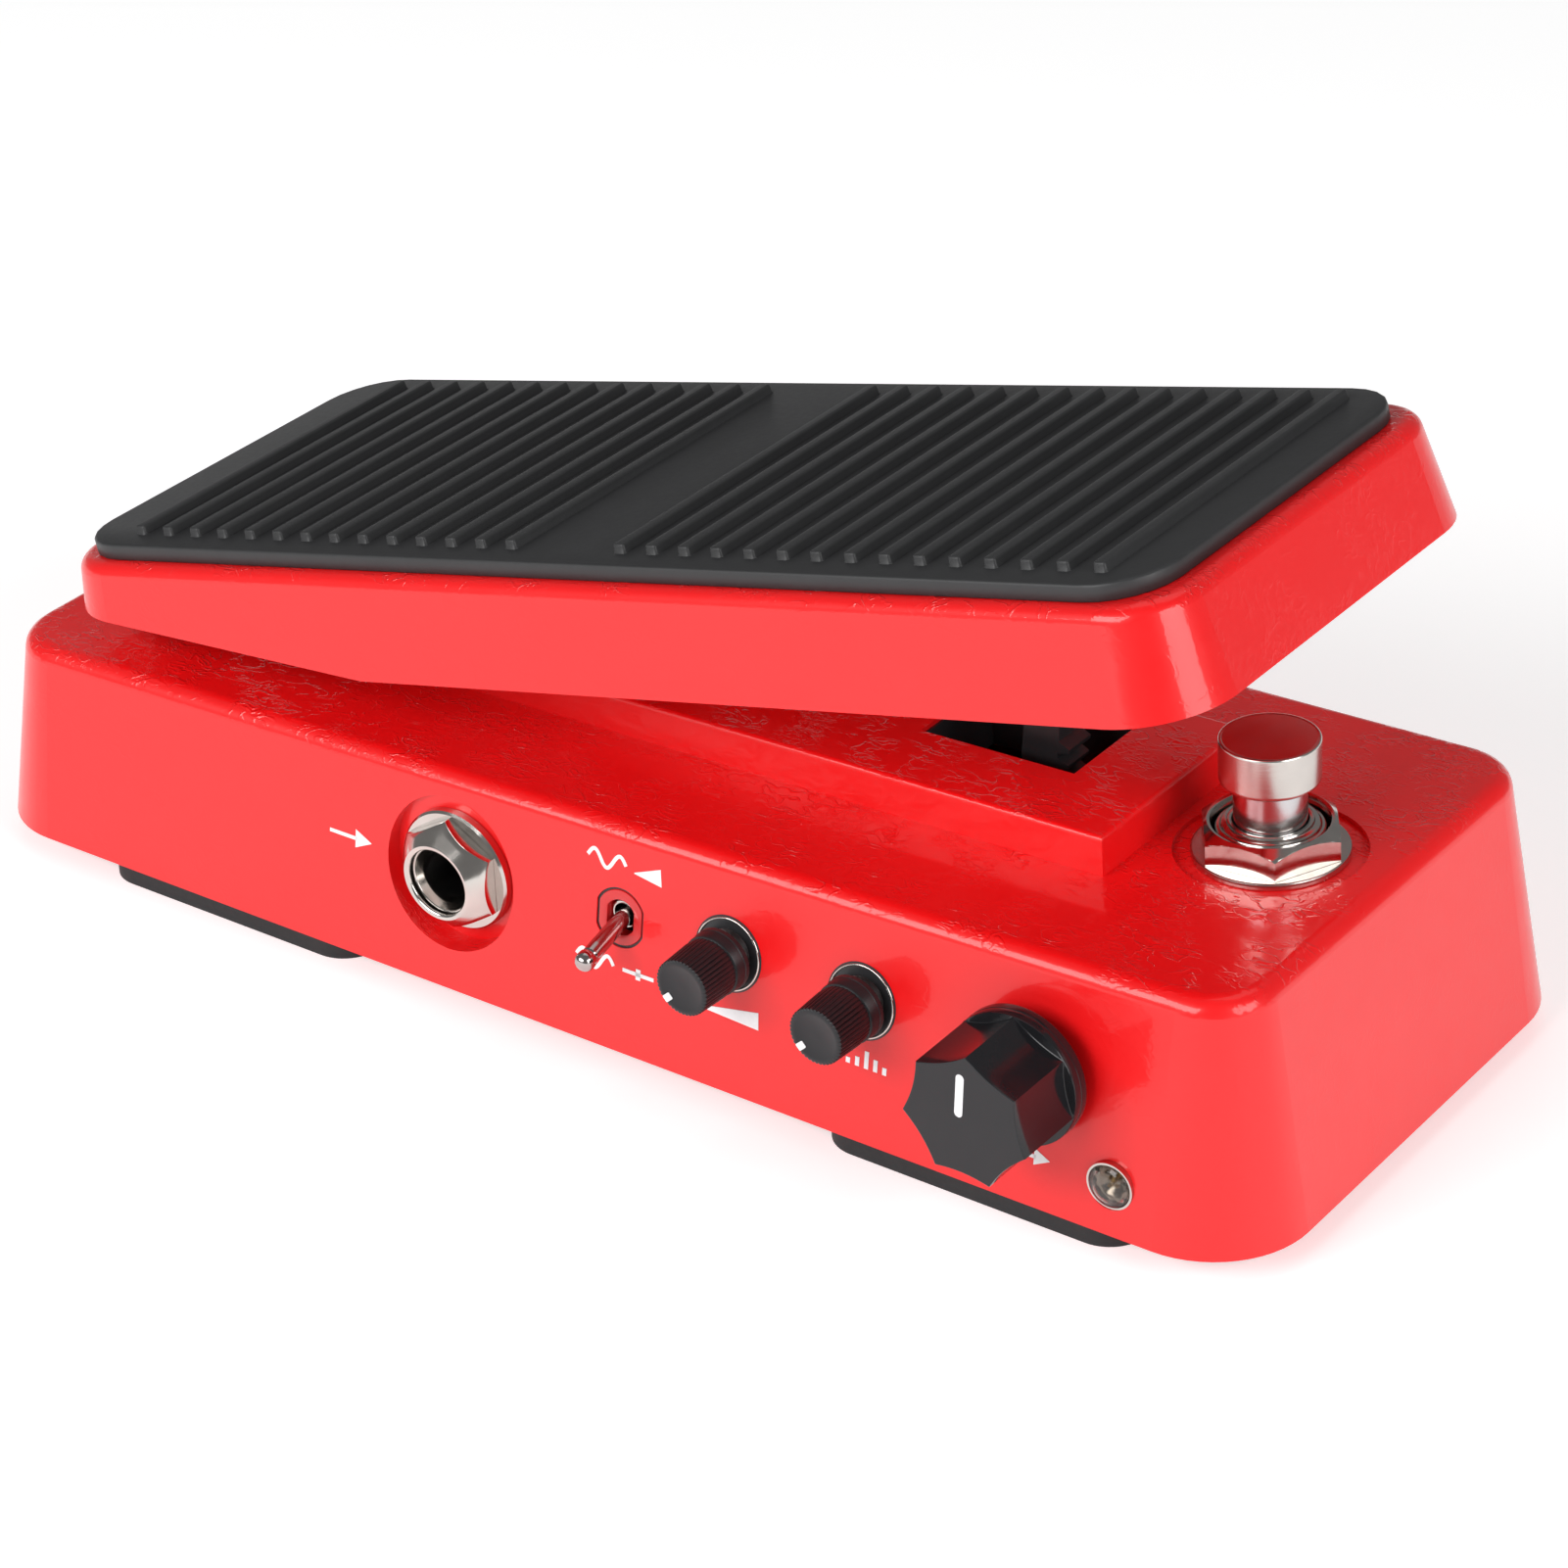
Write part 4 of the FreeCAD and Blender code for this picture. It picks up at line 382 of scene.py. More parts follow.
nickelColour = (0.62, 0.585, 0.55)
moulded = (0.02, 0.02, 0.022)
finishes = {
    # colour, roughness low and high, grains per metre, grain depth in metres, metal
    "red_paint": paintFinish(),
    "plate_steel": speckledFinish("blackPlate", moulded, (0.35, 0.5), 900.0, 0.00004),
    "screw_steel": speckledFinish("darkZinc", (0.30, 0.30, 0.32), (0.25, 0.4), 1500.0, 0.00002, 1.0),
    "foot_rubber": speckledFinish("footRubber", (0.012, 0.012, 0.013), (0.6, 0.8), 1400.0, 0.00006),
    "mat_rubber": speckledFinish("matRubber", (0.024, 0.0243, 0.0255), (0.42, 0.55), 1600.0, 0.00003),
    "bracket_steel": speckledFinish("plainSteel", (0.5, 0.5, 0.52), (0.25, 0.42), 700.0, 0.00002, 1.0),
    "bush_brass": speckledFinish("turnedBrass", (0.72, 0.52, 0.22), (0.2, 0.35), 900.0, 0.00002, 1.0),
    "pot_case": speckledFinish("pressedCan", (0.6, 0.6, 0.6), (0.25, 0.4), 800.0, 0.00002, 1.0),
    "nickel": speckledFinish("polishedNickel", nickelColour, (0.10, 0.20), 1200.0, 0.000006, 1.0),
    "black_plastic": speckledFinish("mouldedBlack", moulded, (0.35, 0.5), 900.0, 0.00003),
    "red_plastic": speckledFinish("redBush", (0.62, 0.012, 0.014), (0.2, 0.3), 700.0, 0.00002, coat=0.3),
    "spring_steel": speckledFinish("springSteel", (0.4, 0.4, 0.43), (0.2, 0.35), 900.0, 0.00001, 1.0),
    "lamp_clear": lampFinish(),
    "board_green": speckledFinish("boardGreen", (0.01, 0.09, 0.03), (0.2, 0.3), 500.0, 0.00001, coat=0.3),
    "shaft_steel": speckledFinish("groundShaft", (0.6, 0.6, 0.61), (0.12, 0.25), 900.0, 0.00001, 1.0),
    "arm_plastic": speckledFinish("blackNylon", moulded, (0.35, 0.5), 900.0, 0.00003),
    "knob_plastic": speckledFinish("knobBlack", (0.014, 0.014, 0.016), (0.3, 0.42), 1500.0, 0.00002,
                                   specular=0.35),
    "knob_gloss": speckledFinish("knobGloss", (0.013, 0.013, 0.015), (0.10, 0.18), 1200.0, 0.000006,
                                 specular=0.38),
}
leverSteel = speckledFinish("leverSteel", (0.46, 0.42, 0.41), (0.10, 0.2), 1300.0, 0.000008, 1.0)
brushedNickel = speckledFinish("brushedNickel", nickelColour, (0.16, 0.30), 900.0, 0.000012, 1.0,
                               stretch=(0.25, 0.25, 9.0))
whiteMark = whiteInk()
print("finishes:", len(finishes))

for part in frame["record"]["subparts"]:
    for slot in nodes[part["node"]].material_slots:
        slot.material = finishes[part["material_slot"]]


# new pieces

def ridePiece(piece, rider, node=None):
    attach(piece, rider)
    if node:
        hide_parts(node)


def roundedOutline(length, width, corner, inset=0.0, steps=7):
    # four quarter arcs joined by straight runs, drawn in by the inset
    angle = np.radians(np.arange(4)[:, None] * 90 + np.linspace(0, 90, steps))
    centre = np.array([[1, 1], [-1, 1], [-1, -1], [1, -1]]) * [length / 2 - corner, width / 2 - corner]
    ring = centre[:, None] + (corner - inset) * np.stack([np.cos(angle), np.sin(angle)], -1)
    return ring.reshape(-1, 2)


def slab(length, width, corner, profile, middle=(0.0, 0.0), steps=7, closed=False):
    # the outline repeated for each (inset, height) pair; its ends are capped, or joined to each other
    rows = []
    for inset, height in profile:
        ring = roundedOutline(length, width, corner, inset, steps) + middle
        rows.append(np.column_stack([ring, np.full(len(ring), height)]))
    return np.concatenate(rows) * mm, turnedFaces(len(rows), 4 * steps, closed)


def joined(shells):
    # several closed shells as one set of points and faces
    points, faces, start = [], [], 0
    for shell, sides in shells:
        points.append(shell)
        faces += [np.asarray(f) + start for f in sides]
        start += len(shell)
    return np.concatenate(points), faces


mat = {
    "length": 142.4, "width": 50.6, "corner": 7.0, "thickness": 1.84,
    "along": 21.94, "out": 8.18,             # its middle and its underside, counted from the pivot axis
    "ribLength": 44.8, "ribWidth": 1.7, "ribCorner": 0.45, "ribHeight": 1.0, "ribPitch": 4.18,
    "ribRows": ((-40.66, 14), (28.34, 15)),  # first rib along the treadle, and how many
}


def makeMat():
    # a rounded sheet with bars across it; each is a rounded outline carried up a soft-edged profile
    high = mat["thickness"]
    edge = [(0.12, 0.0), (0, 0.12), (0, high - 0.34), (0.05, high - 0.17), (0.17, high - 0.05), (0.34, high)]
    shells = [slab(mat["length"], mat["width"], mat["corner"], edge)]
    top = high + mat["ribHeight"]
    bar = [(0.0, high - 0.3), (0.0, high + 0.02), (0.10, high + 0.12), (0.16, top - 0.28),
           (0.21, top - 0.12), (0.31, top - 0.03), (0.42, top)]
    for first, count in mat["ribRows"]:
        for at in first + np.arange(count) * mat["ribPitch"] - mat["along"]:
            shells.append(slab(mat["ribWidth"], mat["ribLength"], mat["ribCorner"], bar, (at, 0), 5))
    points, faces = joined(shells)
    where = treadleFrame(mat["along"], 0, mat["out"])
    piece = toMesh("treadMat", inFrame(where, points), faces, finishes["mat_rubber"])
    ridePiece(sharpen(piece, 50), "treadle", "tread_mat")


makeMat()
print("mat ready")


# painted shade: a black lining where the slot's walls are only dark with shade
slotShadeLiner = {
    "length": 18.66, "width": 12.66, "corner": 0.4, "at": 36.05, "across": 2.65,
    "wall": 0.3, "low": -2.9, "top": 3.9,
}


def makeSlotShadeLiner():
    # painted shade: a black closed ring against the four walls of the platform's slot, standing in for
    # the shade inside it; up outside, in over the top, down inside
    s = slotShadeLiner
    rings = ((0, s["low"]), (0, s["top"]), (s["wall"], s["top"]), (s["wall"], s["low"]))
    points, faces = slab(s["length"], s["width"], s["corner"], rings, closed=True)
    where = deckFrame(s["at"], s["across"])
    ridePiece(toMesh("slotShadeLiner", inFrame(where, points), faces, finishes["black_plastic"], False),
              "base")


makeSlotShadeLiner()
print("slot liner ready")


def hexNut(name, where, spec, node, segments=168):
    # distance to the flats at each angle, taken off above by a cone that runs in to a round face;
    # the mouth is a rounded profile carried round the axis
    theta = wholeTurn(segments)
    fromFlat = (theta + np.pi / 6) % (np.pi / 3) - np.pi / 6
    flat = spec["flats"] / 2
    hexagon = flat / np.cos(fromFlat)
    corner = flat / np.cos(np.pi / 6)
    fall = (hexagon - spec["face"]) / (corner - spec["face"]) * spec["cone"]
    shoulder = spec["top"] - fall
    rows = list(spec["flange"])
    rows += [(hexagon - 0.04, spec["seat"]), (hexagon, spec["seat"] + 0.05),
             (hexagon, shoulder - 0.08), (hexagon, shoulder - 0.03), (hexagon - 0.05, shoulder + 0.01)]
    for t in (0.06, 0.33, 0.66, 0.94, 1.0):
        rows.append((hexagon + (spec["face"] - hexagon) * t, spec["top"] - fall * (1 - t)))
    rows += spec["mouth"]
    piece = roundAxis(name, where, theta, rows, finishes["nickel"], True, 32)
    ridePiece(piece, "base", node)


jack = {
    "input": (-14.8, 13.0), "output": (-34.0, 13.0),  # along the pedal and up its wall
    "outputTurn": 12.0,                               # degrees its nut stands turned
    "nut": {
        "flats": 11.1, "face": 4.3, "cone": 2.2, "seat": -0.65, "top": 2.4,
        "flange": ((6.8, -1.85), (6.9, -1.75), (6.9, -0.9), (6.65, -0.65)),
        "mouth": ((4.02, 2.38), (3.84, 2.28), (3.75, 2.12), (3.72, 1.9), (3.72, 1.65), (4.75, 1.62),
                  (4.75, -1.85)),
    },
    "nose": ((4.7, -4.35), (4.7, 1.35), (4.68, 1.5), (4.55, 1.6), (3.76, 1.6), (3.66, 1.58), (3.58, 1.5),
             (3.24, 0.62), (3.2, 0.5), (3.2, -4.35)),
}


def makeJack(name, where, turn, node):
    # a flanged nut over the threaded nose, both about the same axis
    hexNut(name + "Nut", turnFrame(where, turn), jack["nut"], node + "_nut")
    nose = turnedPiece(name + "Nose", where, jack["nose"], finishes["nickel"], 96, True)
    ridePiece(nose, "base", node + "_nose")


makeJack("input", panelFrame(*jack["input"]), 0, "input_jack")
makeJack("output", backFrame(*jack["output"]), jack["outputTurn"], "output_jack")
print("jacks ready")


stomp = {
    # the bush is a ring with a raised lip and a groove; the cap has a thin lip round a flat top
    "at": 66.0, "nutTurn": 34.0,
    "nut": {
        "flats": 13.3, "face": 6.35, "cone": 0.95, "seat": 0.3, "top": 3.4, "flange": (),
        "mouth": ((6.15, 3.38), (6.02, 3.28), (5.96, 3.1), (5.56, 1.9), (5.56, 0.3)),
    },
    "bush": ((5.5, 0.9), (5.48, 2.55), (5.35, 2.68), (5.1, 2.7), (5.0, 2.8), (4.95, 2.97), (4.85, 3.05),
             (4.5, 3.07), (4.38, 3.14), (4.3, 3.36), (4.2, 3.43), (4.0, 3.43), (3.86, 3.36), (3.78, 3.2),
             (3.78, 0.9)),
    "washer": ((5.6, -0.5), (7.88, -0.5), (7.98, -0.4), (8.0, -0.25), (8.0, 0.12), (7.95, 0.24), (7.84, 0.3),
               (5.6, 0.3)),
    "cap": ((3.3, 7.75), (4.55, 7.75), (4.85, 7.8), (5.03, 7.95), (5.1, 8.2), (5.1, 12.2), (5.07, 12.32),
            (5.0, 12.4), (4.9, 12.44), (4.8, 12.43), (4.72, 12.38), (1.0, 12.38)),
    "spring": 3.1, "wire": 0.2, "turns": 4, "springHeight": 4.1, "travel": 2.5,
}


def makeStompSwitch():
    where = deckFrame(stomp["at"])
    hexNut("stompNut", turnFrame(where, stomp["nutTurn"]), stomp["nut"], "stomp_nut")
    bush = turnedPiece("stompBush", where, stomp["bush"], finishes["nickel"], 144, True)
    ridePiece(bush, "base", "stomp_bush")
    washer = turnedPiece("stompWasher", where, stomp["washer"], brushedNickel, 144, True)
    ridePiece(washer, "base", "stomp_washer")
    cap = turnedPiece("stompCap", where, stomp["cap"], brushedNickel, 144)
    ridePiece(cap, "stomp_button", "stomp_cap")


def makeStompSpring():
    # a round wire wound about the stem's axis: a small circle carried along a helix
    wire, high = stomp["wire"], stomp["springHeight"]
    turn = np.linspace(0, 2 * np.pi * stomp["turns"], 28 * stomp["turns"] + 1)[:, None]
    around = -wholeTurn(12)
    out = stomp["spring"] + wire * np.cos(around)
    climb = wire + (high - 2 * wire) * turn / turn[-1] + wire * np.sin(around)
    local = np.stack([out * np.cos(turn), out * np.sin(turn), climb], -1).reshape(-1, 3) * mm
    x, y, z = deckFrame(stomp["at"])[1:]
    foot = middleOf("stomp_spring") - z * high / 2 * mm
    faces = turnedFaces(len(turn), len(around), False)
    piece = toMesh("stompSpring", inFrame((foot, x, y, z), local), faces, finishes["spring_steel"])
    ridePiece(piece, "base", "stomp_spring")
    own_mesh(piece)


makeStompSwitch()
makeStompSpring()
print("stomp switch ready")


smallKnob = {
    "places": {"level": (21.4, 15.1), "quality": (37.8, 15.1)},
    "collar": ((1.5, 1.05), (3.42, 1.05), (3.46, 1.1), (3.46, 1.6), (3.40, 1.66), (3.38, 1.72), (3.36, 2.85),
               (3.32, 2.92), (3.2, 2.94)),
    "grip": (3.16, 2.96),     # radius at the wall end and at the face
    "from": 2.98, "to": 7.78, "face": 7.9,
    "ridges": 42, "ridgeDepth": 0.17,
    "mark": (1.1, 0.85, 0.14), "markAngle": 222.0,
    "markEdge": ((0.12, -0.04), (0.06, 0.0), (0.02, 0.10), (0.06, 0.13), (0.12, 0.14)),
    # the washer's radius and wire, then the black ring of painted shade beneath it as (radius, height)
    "ring": (3.84, 0.13), "gap": ((2.7, 0.01), (4.12, 0.01), (4.14, 0.03), (4.12, 0.05), (2.7, 0.05)),
}


def makeSmallKnob(name):
    # a smooth collar, then a taper whose radius is lifted by a row of narrow ridges round the axis
    knob = smallKnob
    at, up = knob["places"][name]
    theta = wholeTurn(knob["ridges"] * 8)
    ridge = np.abs(np.sin(theta * knob["ridges"] / 2)) ** 0.7 * knob["ridgeDepth"]
    low, high, face = knob["from"], knob["to"], knob["face"]
    wide, slim = knob["grip"]
    rows = list(knob["collar"]) + [(wide - 0.02, low)]
    for t in np.linspace(0, 1, 6):
        lift = ridge * min(1.0, 0.15 + t * 8)
        rows.append((wide + (slim - wide) * t + lift, low + 0.05 + (high - low - 0.05) * t))
    rows += [(slim - 0.06 + ridge * 0.5, high + 0.07), (slim - 0.16, face), (slim - 0.5, face),
             (slim - 0.58, face - 0.05), (0.4, face - 0.05)]
    piece = roundAxis(name + "Knob", panelFrame(at, up), theta, rows, finishes["knob_plastic"], False, 35)
    ridePiece(piece, name + "_dial", name + "_knob")
    # the white mark at the face's edge
    points, faces = slab(*knob["mark"], knob["markEdge"], (slim - 0.62, 0), 4)
    lifted = turnFrame(panelFrame(at, up, face - 0.05), knob["markAngle"])
    ridePiece(toMesh(name + "KnobMark", inFrame(lifted, points), faces, whiteMark), name + "_dial")


def makePotRing(name):
    # a bright washer lying on the wall behind a small knob, over a black ring of painted shade in the
    # clearance round it
    where = wallFrame(*smallKnob["places"][name])
    radius, wire = smallKnob["ring"]
    turn = wholeTurn(16)
    hoop = np.column_stack([radius + wire * np.cos(turn), 0.12 + wire * np.sin(turn)])
    ridePiece(turnedPiece(name + "Ring", where, hoop, finishes["nickel"], 120, True), "base")
    # painted shade: a black ring just off the wall, standing in for the shadow in the clearance
    gap = turnedPiece(name + "RingShade", where, smallKnob["gap"], finishes["black_plastic"], 120, True)
    ridePiece(gap, "base")


for name in smallKnob["places"]:
    makeSmallKnob(name)
    makePotRing(name)
print("small knobs ready")


rangeKnob = {
    "at": (58.0, 15.0), "sides": 7, "cornerAt": 35.8,
    "frontCorner": 7.2, "rearCorner": 7.22,   # radius of the ridges at the face and at the skirt
    "frontBow": 0.34, "rearBow": 0.36,        # how far each side is hollowed
    "skirt": 7.3, "foot": 1.52, "skirtTop": 3.6, "face": 11.9,
    "pointer": (4.9, 0.92, 0.46), "pointerAt": (-0.43, 2.64), "pointerTurn": 86.3,
    "pointerEdge": ((0.10, -0.03), (0.05, 0.0), (0.0, 0.02), (0.0, 0.05), (0.06, 0.08), (0.14, 0.085)),
}


def makeRangeKnob():
    # seven hollowed sides: chord distance over cosine, less a bow that fades to nothing at the ridges,
    # from the face down to a round skirt
    knob = rangeKnob
    theta = wholeTurn(knob["sides"] * 28)
    half = np.pi / knob["sides"]
    phi = (theta - half) % (2 * half)
    phi = np.where(phi > half, phi - 2 * half, phi)  # angle from the middle of the nearest side

    def sideRadius(corner, bow):
        chord = corner * np.cos(half)
        return (chord - bow * (1 - (np.tan(phi) / np.tan(half)) ** 2)) / np.cos(phi)

    low, skirt, skirtTop, face = knob["foot"], knob["skirt"], knob["skirtTop"], knob["face"]
    rows = [(1.5, low), (skirt - 0.25, low), (skirt - 0.05, low + 0.12), (skirt, low + 0.35),
            (skirt, low + 1.0), (skirt - 0.04, low + 1.04), (skirt - 0.02, low + 1.1),
            (skirt - 0.02, skirtTop - 0.18), (skirt - 0.08, skirtTop - 0.04)]
    rear = sideRadius(knob["rearCorner"], knob["rearBow"])
    rows += [(rear + 0.10, skirtTop), (rear + 0.02, skirtTop + 0.05), (rear, skirtTop + 0.12),
             (rear, skirtTop + 0.18)]
    for t in np.linspace(0.1, 1, 8):
        corner = knob["rearCorner"] + (knob["frontCorner"] - knob["rearCorner"]) * t
        bow = knob["rearBow"] + (knob["frontBow"] - knob["rearBow"]) * t
        rows.append((sideRadius(corner, bow), skirtTop + 0.18 + (face - 0.12 - skirtTop - 0.18) * t))
    front = sideRadius(knob["frontCorner"], knob["frontBow"])
    rows += [(front - 0.04, face - 0.03), (front - 0.12, face), (front - 0.2, face), (front * 0.5, face),
             (front * 0.06, face)]
    where = turnFrame(panelFrame(*knob["at"]), knob["cornerAt"])
    piece = roundAxis("rangeKnob", where, theta, rows, finishes["knob_gloss"], False, 24)
    ridePiece(piece, "range_dial", "range_knob")
    points, faces = slab(*knob["pointer"], knob["pointerEdge"])
    origin, x, y, z = panelFrame(*knob["at"], face)
    along, up = knob["pointerAt"]
    lifted = turnFrame((origin + along * mm * x + up * mm * y, x, y, z), knob["pointerTurn"])
    ridePiece(toMesh("rangePointer", inFrame(lifted, points), faces, whiteMark), "range_dial")


makeRangeKnob()
print("range knob ready")


def flatSided(radius, width, steps=24):
    # a circle cut by two upright flats: x held to half the width
    theta = wholeTurn(4 * steps) + np.pi / (4 * steps)
    return np.column_stack([np.clip(radius * np.cos(theta), -width / 2, width / 2), radius * np.sin(theta)])


def flatSidedRing(rows):
    # a closed tube of flat-sided outlines: (radius, width, height) for each
    outlines = [(flatSided(radius, width), height) for radius, width, height in rows]
    rings = [np.column_stack([ring, np.full(len(ring), height)]) for ring, height in outlines]
    return np.concatenate(rings) * mm, turnedFaces(len(rings), len(rings[0]), True)


toggle = {
    "at": (7.6, 14.8),
    "plate": ((3.02, 5.44, -1.6), (3.04, 5.48, -0.16), (2.98, 5.36, -0.06), (2.90, 5.20, -0.04),
              (2.05, 3.62, -0.04), (1.95, 3.42, -0.10), (1.90, 3.32, -0.30), (1.88, 3.28, -1.6)),
    # painted shade in the seam round the plate: (radius, width, height) for each outline
    "shadeSeam": ((3.29, 5.98, -0.2), (3.05, 5.50, -0.2), (3.05, 5.50, -0.5), (3.29, 5.98, -0.5)),
    "leverPivot": -1.5, "leverTilt": np.radians(16.0),
    "lever": ((0.3, -3.9), (0.7, -3.8), (0.86, -1.0), (0.90, 1.0), (0.96, 5.6), (0.95, 6.7), (0.9, 6.86),
              (0.97, 6.98), (1.08, 7.25), (1.12, 7.6), (1.08, 7.98), (0.96, 8.28), (0.74, 8.52), (0.45, 8.66),
              (0.12, 8.7)),
    "sleeve": ((1.6, -2.3), (1.6, -0.95), (1.54, -0.82), (1.42, -0.78), (1.3, -0.82), (1.24, -0.95),
               (1.24, -2.3)),
}


def makeToggle():
    # a flat-sided plate with a black ring of painted shade in the seam round it, and a turned lever with a
    # ball end standing out of its sleeve
    at = toggle["at"]
    wall = wallFrame(*at)
    points, faces = flatSidedRing(toggle["plate"])
    plate = toMesh("togglePlate", inFrame(wall, points), faces, finishes["red_plastic"])
    ridePiece(sharpen(plate, 40), "base", "toggle_bush")
    # painted shade: a thin black ring down in the gap round the plate, standing in for the seam's shadow
    points, faces = flatSidedRing(toggle["shadeSeam"])
    ridePiece(toMesh("toggleSeamShade", inFrame(wall, points), faces, finishes["black_plastic"], False),
              "base")
    origin, x, y, z = panelFrame(*at, toggle["leverPivot"])
    out = z * np.cos(toggle["leverTilt"]) - y * np.sin(toggle["leverTilt"])
    lever = turnedPiece("toggleLever", (origin, x, np.cross(out, x), out), toggle["lever"], leverSteel, 72)
    ridePiece(lever, "toggle", "toggle_lever")
    sleeve = turnedPiece("toggleSleeve", panelFrame(*at), toggle["sleeve"], finishes["nickel"], 72, True)
    ridePiece(sleeve, "base")


makeToggle()
print("toggle ready")


lamp = {
    "at": (67.9, 5.3),
    "dome": ((0.04, 0.78), (0.6, 0.75), (1.2, 0.64), (1.7, 0.44), (1.98, 0.1), (2.03, -0.2), (2.03, -1.6),
             (2.33, -1.6), (2.33, 0.2), (2.24, 0.46), (1.95, 0.7), (1.5, 0.9), (1.0, 1.02), (0.5, 1.08),
             (0.04, 1.1)),
    "cup": ((0.04, -1.7), (1.98, -1.7), (1.98, -0.38), (1.75, -0.4), (1.55, -0.5), (0.62, -1.2), (0.5, -1.25),
            (0.04, -1.25)),
    "postEdge": ((0.10, 0.0), (0.03, 0.04), (0.0, 0.12), (0.0, 1.0), (0.05, 1.08), (0.12, 1.12)),
    "posts": ((0.9, (0.42, 0.1)), (0.34, (-0.42, 0.1))),  # length of each, and its middle
    "postWidth": 0.42, "postCorner": 0.14, "postFoot": -1.25, "postTurn": 60,
}


def makeLamp():
    # a thin dome over a shallow bright cup, both turned round one axis, with two small posts in it
    where = panelFrame(*lamp["at"])
    ridePiece(turnedPiece("lampDome", where, lamp["dome"], finishes["lamp_clear"]), "base",
              "lamp_lens")
    ridePiece(turnedPiece("lampCup", where, lamp["cup"], finishes["nickel"]), "base")
    edge = [(inset, height + lamp["postFoot"]) for inset, height in lamp["postEdge"]]
    shells = [slab(length, lamp["postWidth"], lamp["postCorner"], edge, middle, 4)
              for length, middle in lamp["posts"]]
    points, faces = joined(shells)
    turned = inFrame(turnFrame(where, lamp["postTurn"]), points)
    posts = toMesh("lampPosts", turned, faces, finishes["bush_brass"])
    ridePiece(posts, "base")


makeLamp()
print("lamp ready")


def strip(path, width, thickness=0.03):
    # a flat bar carried along a path: each point moved half the width to either side
    path = np.asarray(path, dtype=float)
    width = np.broadcast_to(np.asarray(width, dtype=float), (len(path),))
    along = np.gradient(path, axis=0)
    along /= np.linalg.norm(along, axis=1, keepdims=True)
    side = np.column_stack([-along[:, 1], along[:, 0]]) * width[:, None] / 2
    low, high = np.zeros(len(path)), np.full(len(path), thickness)
    corners = [np.column_stack(pair) for pair in
               ((path - side, low), (path + side, low), (path + side, high), (path - side, high))]
    return np.stack(corners, 1).reshape(-1, 3) * mm, turnedFaces(len(path), 4, False)


def wave(start, end, height=0.85, turns=1.5, count=40):
    # a sine line: height times the sine of the share of the way along
    x = np.linspace(start, end, count)
    return np.column_stack([x, height * np.sin((x - start) / (end - start) * 2 * np.pi * turns)])


stroke = 0.42  # mm, line width of the printed signs
bars = ((-2.2, 0.6), (-1.1, 1.0), (0, 1.9), (1.1, 1.3), (2.2, 0.8))  # where each stands, and its height
signs = {
    # along the pedal, up the wall, and the strips of each; an arrow towards the jack
    "jackSign": (-28.5, 13.2, (strip([(-2.9, 0), (0.9, 0)], stroke),
                               strip([(0.7, 0), (2.9, 0)], (2.1, 0.05)))),
    # a wave and a rising wedge over the lever, a wave and a plain line under it
    "upperSign": (7.9, 20.6, (strip(wave(-4.7, 0.2), stroke), strip([(1.3, -0.4), (4.7, 0)], (0.1, 1.9)))),
    "lowerSign": (7.3, 9.3, (strip(wave(-5.0, -0.2), stroke), strip([(1.0, 0), (5.0, 0)], stroke),
                             strip([(2.7, 0), (3.3, 0)], 1.2))),
    # a rising wedge, a row of bars, and a two-headed arrow under the knobs
    "levelSign": (22.7, 8.9, (strip([(-5.0, -0.5), (2.9, 0.05)], (0.1, 1.9)),)),
    "qualitySign": (38.9, 9.0, tuple(strip([(x, -0.9), (x, -0.9 + high)], 0.5) for x, high in bars)),
    "rangeSign": (57.3, 5.4, (strip([(-4.0, 0), (-2.4, 0)], (0.05, 1.8)),
                              strip([(-2.6, 0), (2.0, 0)], stroke),
                              strip([(1.8, 0), (3.6, 0)], (1.8, 0.05)))),
}
for name, (at, up, shells) in signs.items():
    points, faces = joined(shells)
    ridePiece(toMesh(name, inFrame(wallFrame(at, up, 0.02), points), faces, whiteMark, False), "base")
print("signs ready:", len(signs))


# camera, light and floor

camera = {
    "place": (268.34, -346.34, 265.26),  # mm, counted from the pedal's middle line
    "azimuth": 37.152, "elevation": 29.626, "roll": -2.322,  # degrees
    "lens": 107.36,
}


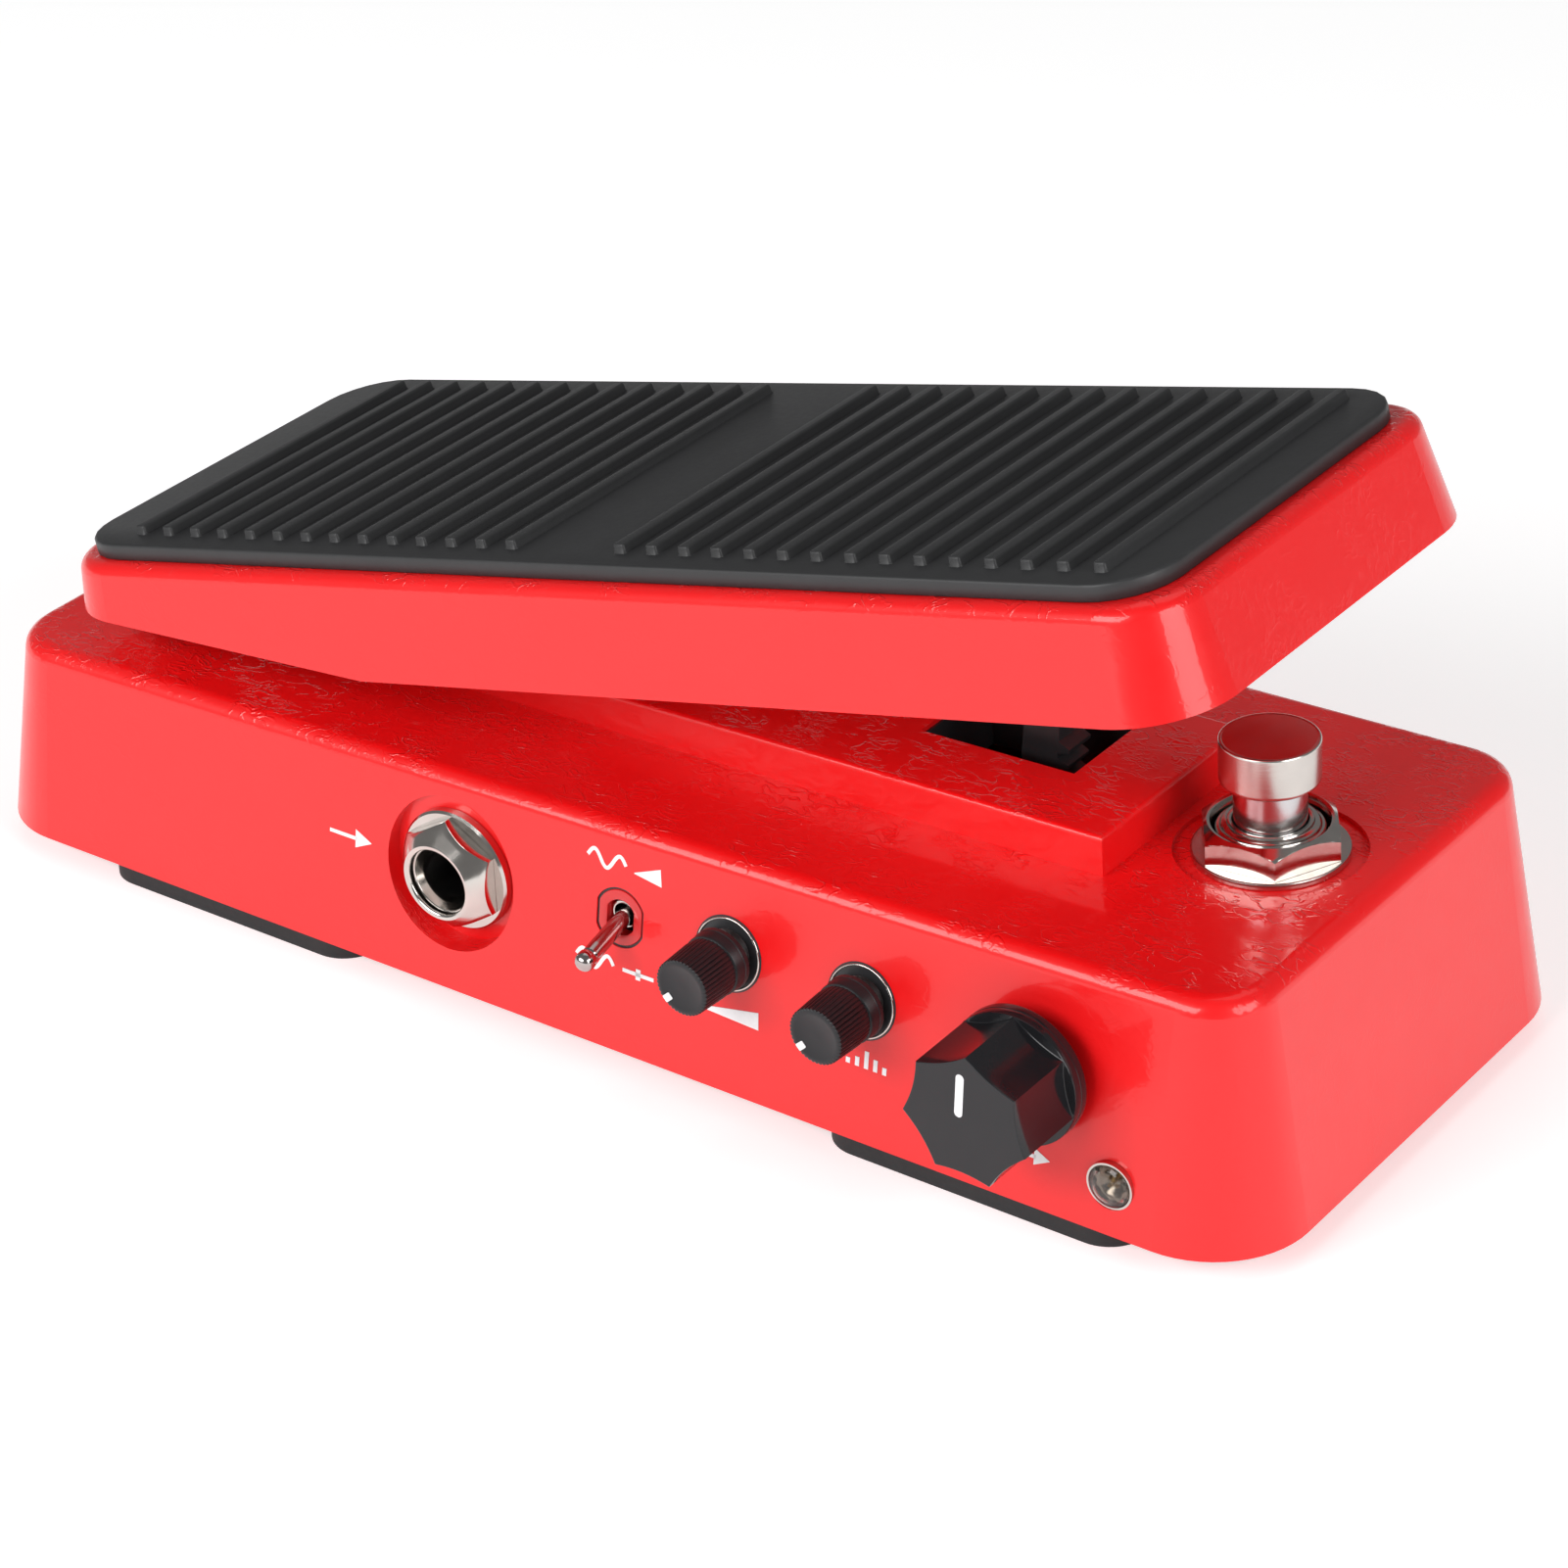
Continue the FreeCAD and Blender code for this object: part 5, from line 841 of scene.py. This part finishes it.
def makeCamera():
    # looks back along its own z axis: away from the pedal, level line and upright turned by the roll
    az, el, roll = (np.radians(camera[k]) for k in ("azimuth", "elevation", "roll"))
    back = np.array([np.sin(az) * np.cos(el), -np.cos(az) * np.cos(el), np.sin(el)])
    level = np.array([np.cos(az), np.sin(az), 0])
    upright = np.cross(back, level)
    right = np.cos(roll) * level + np.sin(roll) * upright
    up = -np.sin(roll) * level + np.cos(roll) * upright
    data = bpy.data.cameras.new("camera")
    data.lens = camera["lens"]
    data.sensor_width = 36
    data.clip_start = 0.01
    data.clip_end = 20
    item = bpy.data.objects.new("camera", data)
    pose = Matrix([[*v] for v in np.stack([right, up, back], 1)]).to_4x4()
    pose.translation = Vector(np.array(camera["place"]) * mm + np.array([0, middleLine, 0]))
    item.matrix_world = pose
    bpy.context.scene.collection.objects.link(item)
    bpy.context.scene.camera = item


lookAt = (0, 0, 0.03)
softBoxes = {
    # place in metres, size, power in watts
    "frontSoftBox": ((-0.25, -0.90, 0.55), (0.9, 0.5), 9.0),
    "toeSoftBox": ((0.95, -0.15, 0.42), (0.6, 0.6), 5.5),
    "topSoftBox": ((-0.1, 0.35, 1.1), (0.9, 0.7), 1.3),
}
studio = {"floorHalf": 6.0, "floorColour": (0.93, 0.93, 0.93), "floorGlow": 0.42, "worldStrength": 0.2}


def softLight(name, place, size, power):
    data = bpy.data.lights.new(name, "AREA")
    data.shape = "RECTANGLE"
    data.size, data.size_y = size
    data.energy = power
    item = bpy.data.objects.new(name, data)
    item.location = place
    item.rotation_euler = (Vector(lookAt) - Vector(place)).to_track_quat("-Z", "Y").to_euler()
    bpy.context.scene.collection.objects.link(item)


def makeFloor():
    points = np.array([[-1, -1, 0], [1, -1, 0], [1, 1, 0], [-1, 1, 0]]) * studio["floorHalf"]
    finish, tree, shader = newFinish("paleFloor", studio["floorColour"], 0.75)
    shader.inputs["Emission Color"].default_value = (1, 1, 1, 1)
    shader.inputs["Emission Strength"].default_value = studio["floorGlow"]
    toMesh("floor", points, [[0, 1, 2, 3]], finish, False)


def makeWorld():
    world = bpy.data.worlds.new("studio")
    world.use_nodes = True
    background = world.node_tree.nodes["Background"]
    background.inputs["Color"].default_value = (1, 1, 1, 1)
    background.inputs["Strength"].default_value = studio["worldStrength"]
    bpy.context.scene.world = world
    bpy.context.scene.view_settings.view_transform = "Standard"


makeCamera()
makeFloor()
for name, (place, size, power) in softBoxes.items():
    softLight(name, place, size, power)
makeWorld()
print("camera, light and floor ready")

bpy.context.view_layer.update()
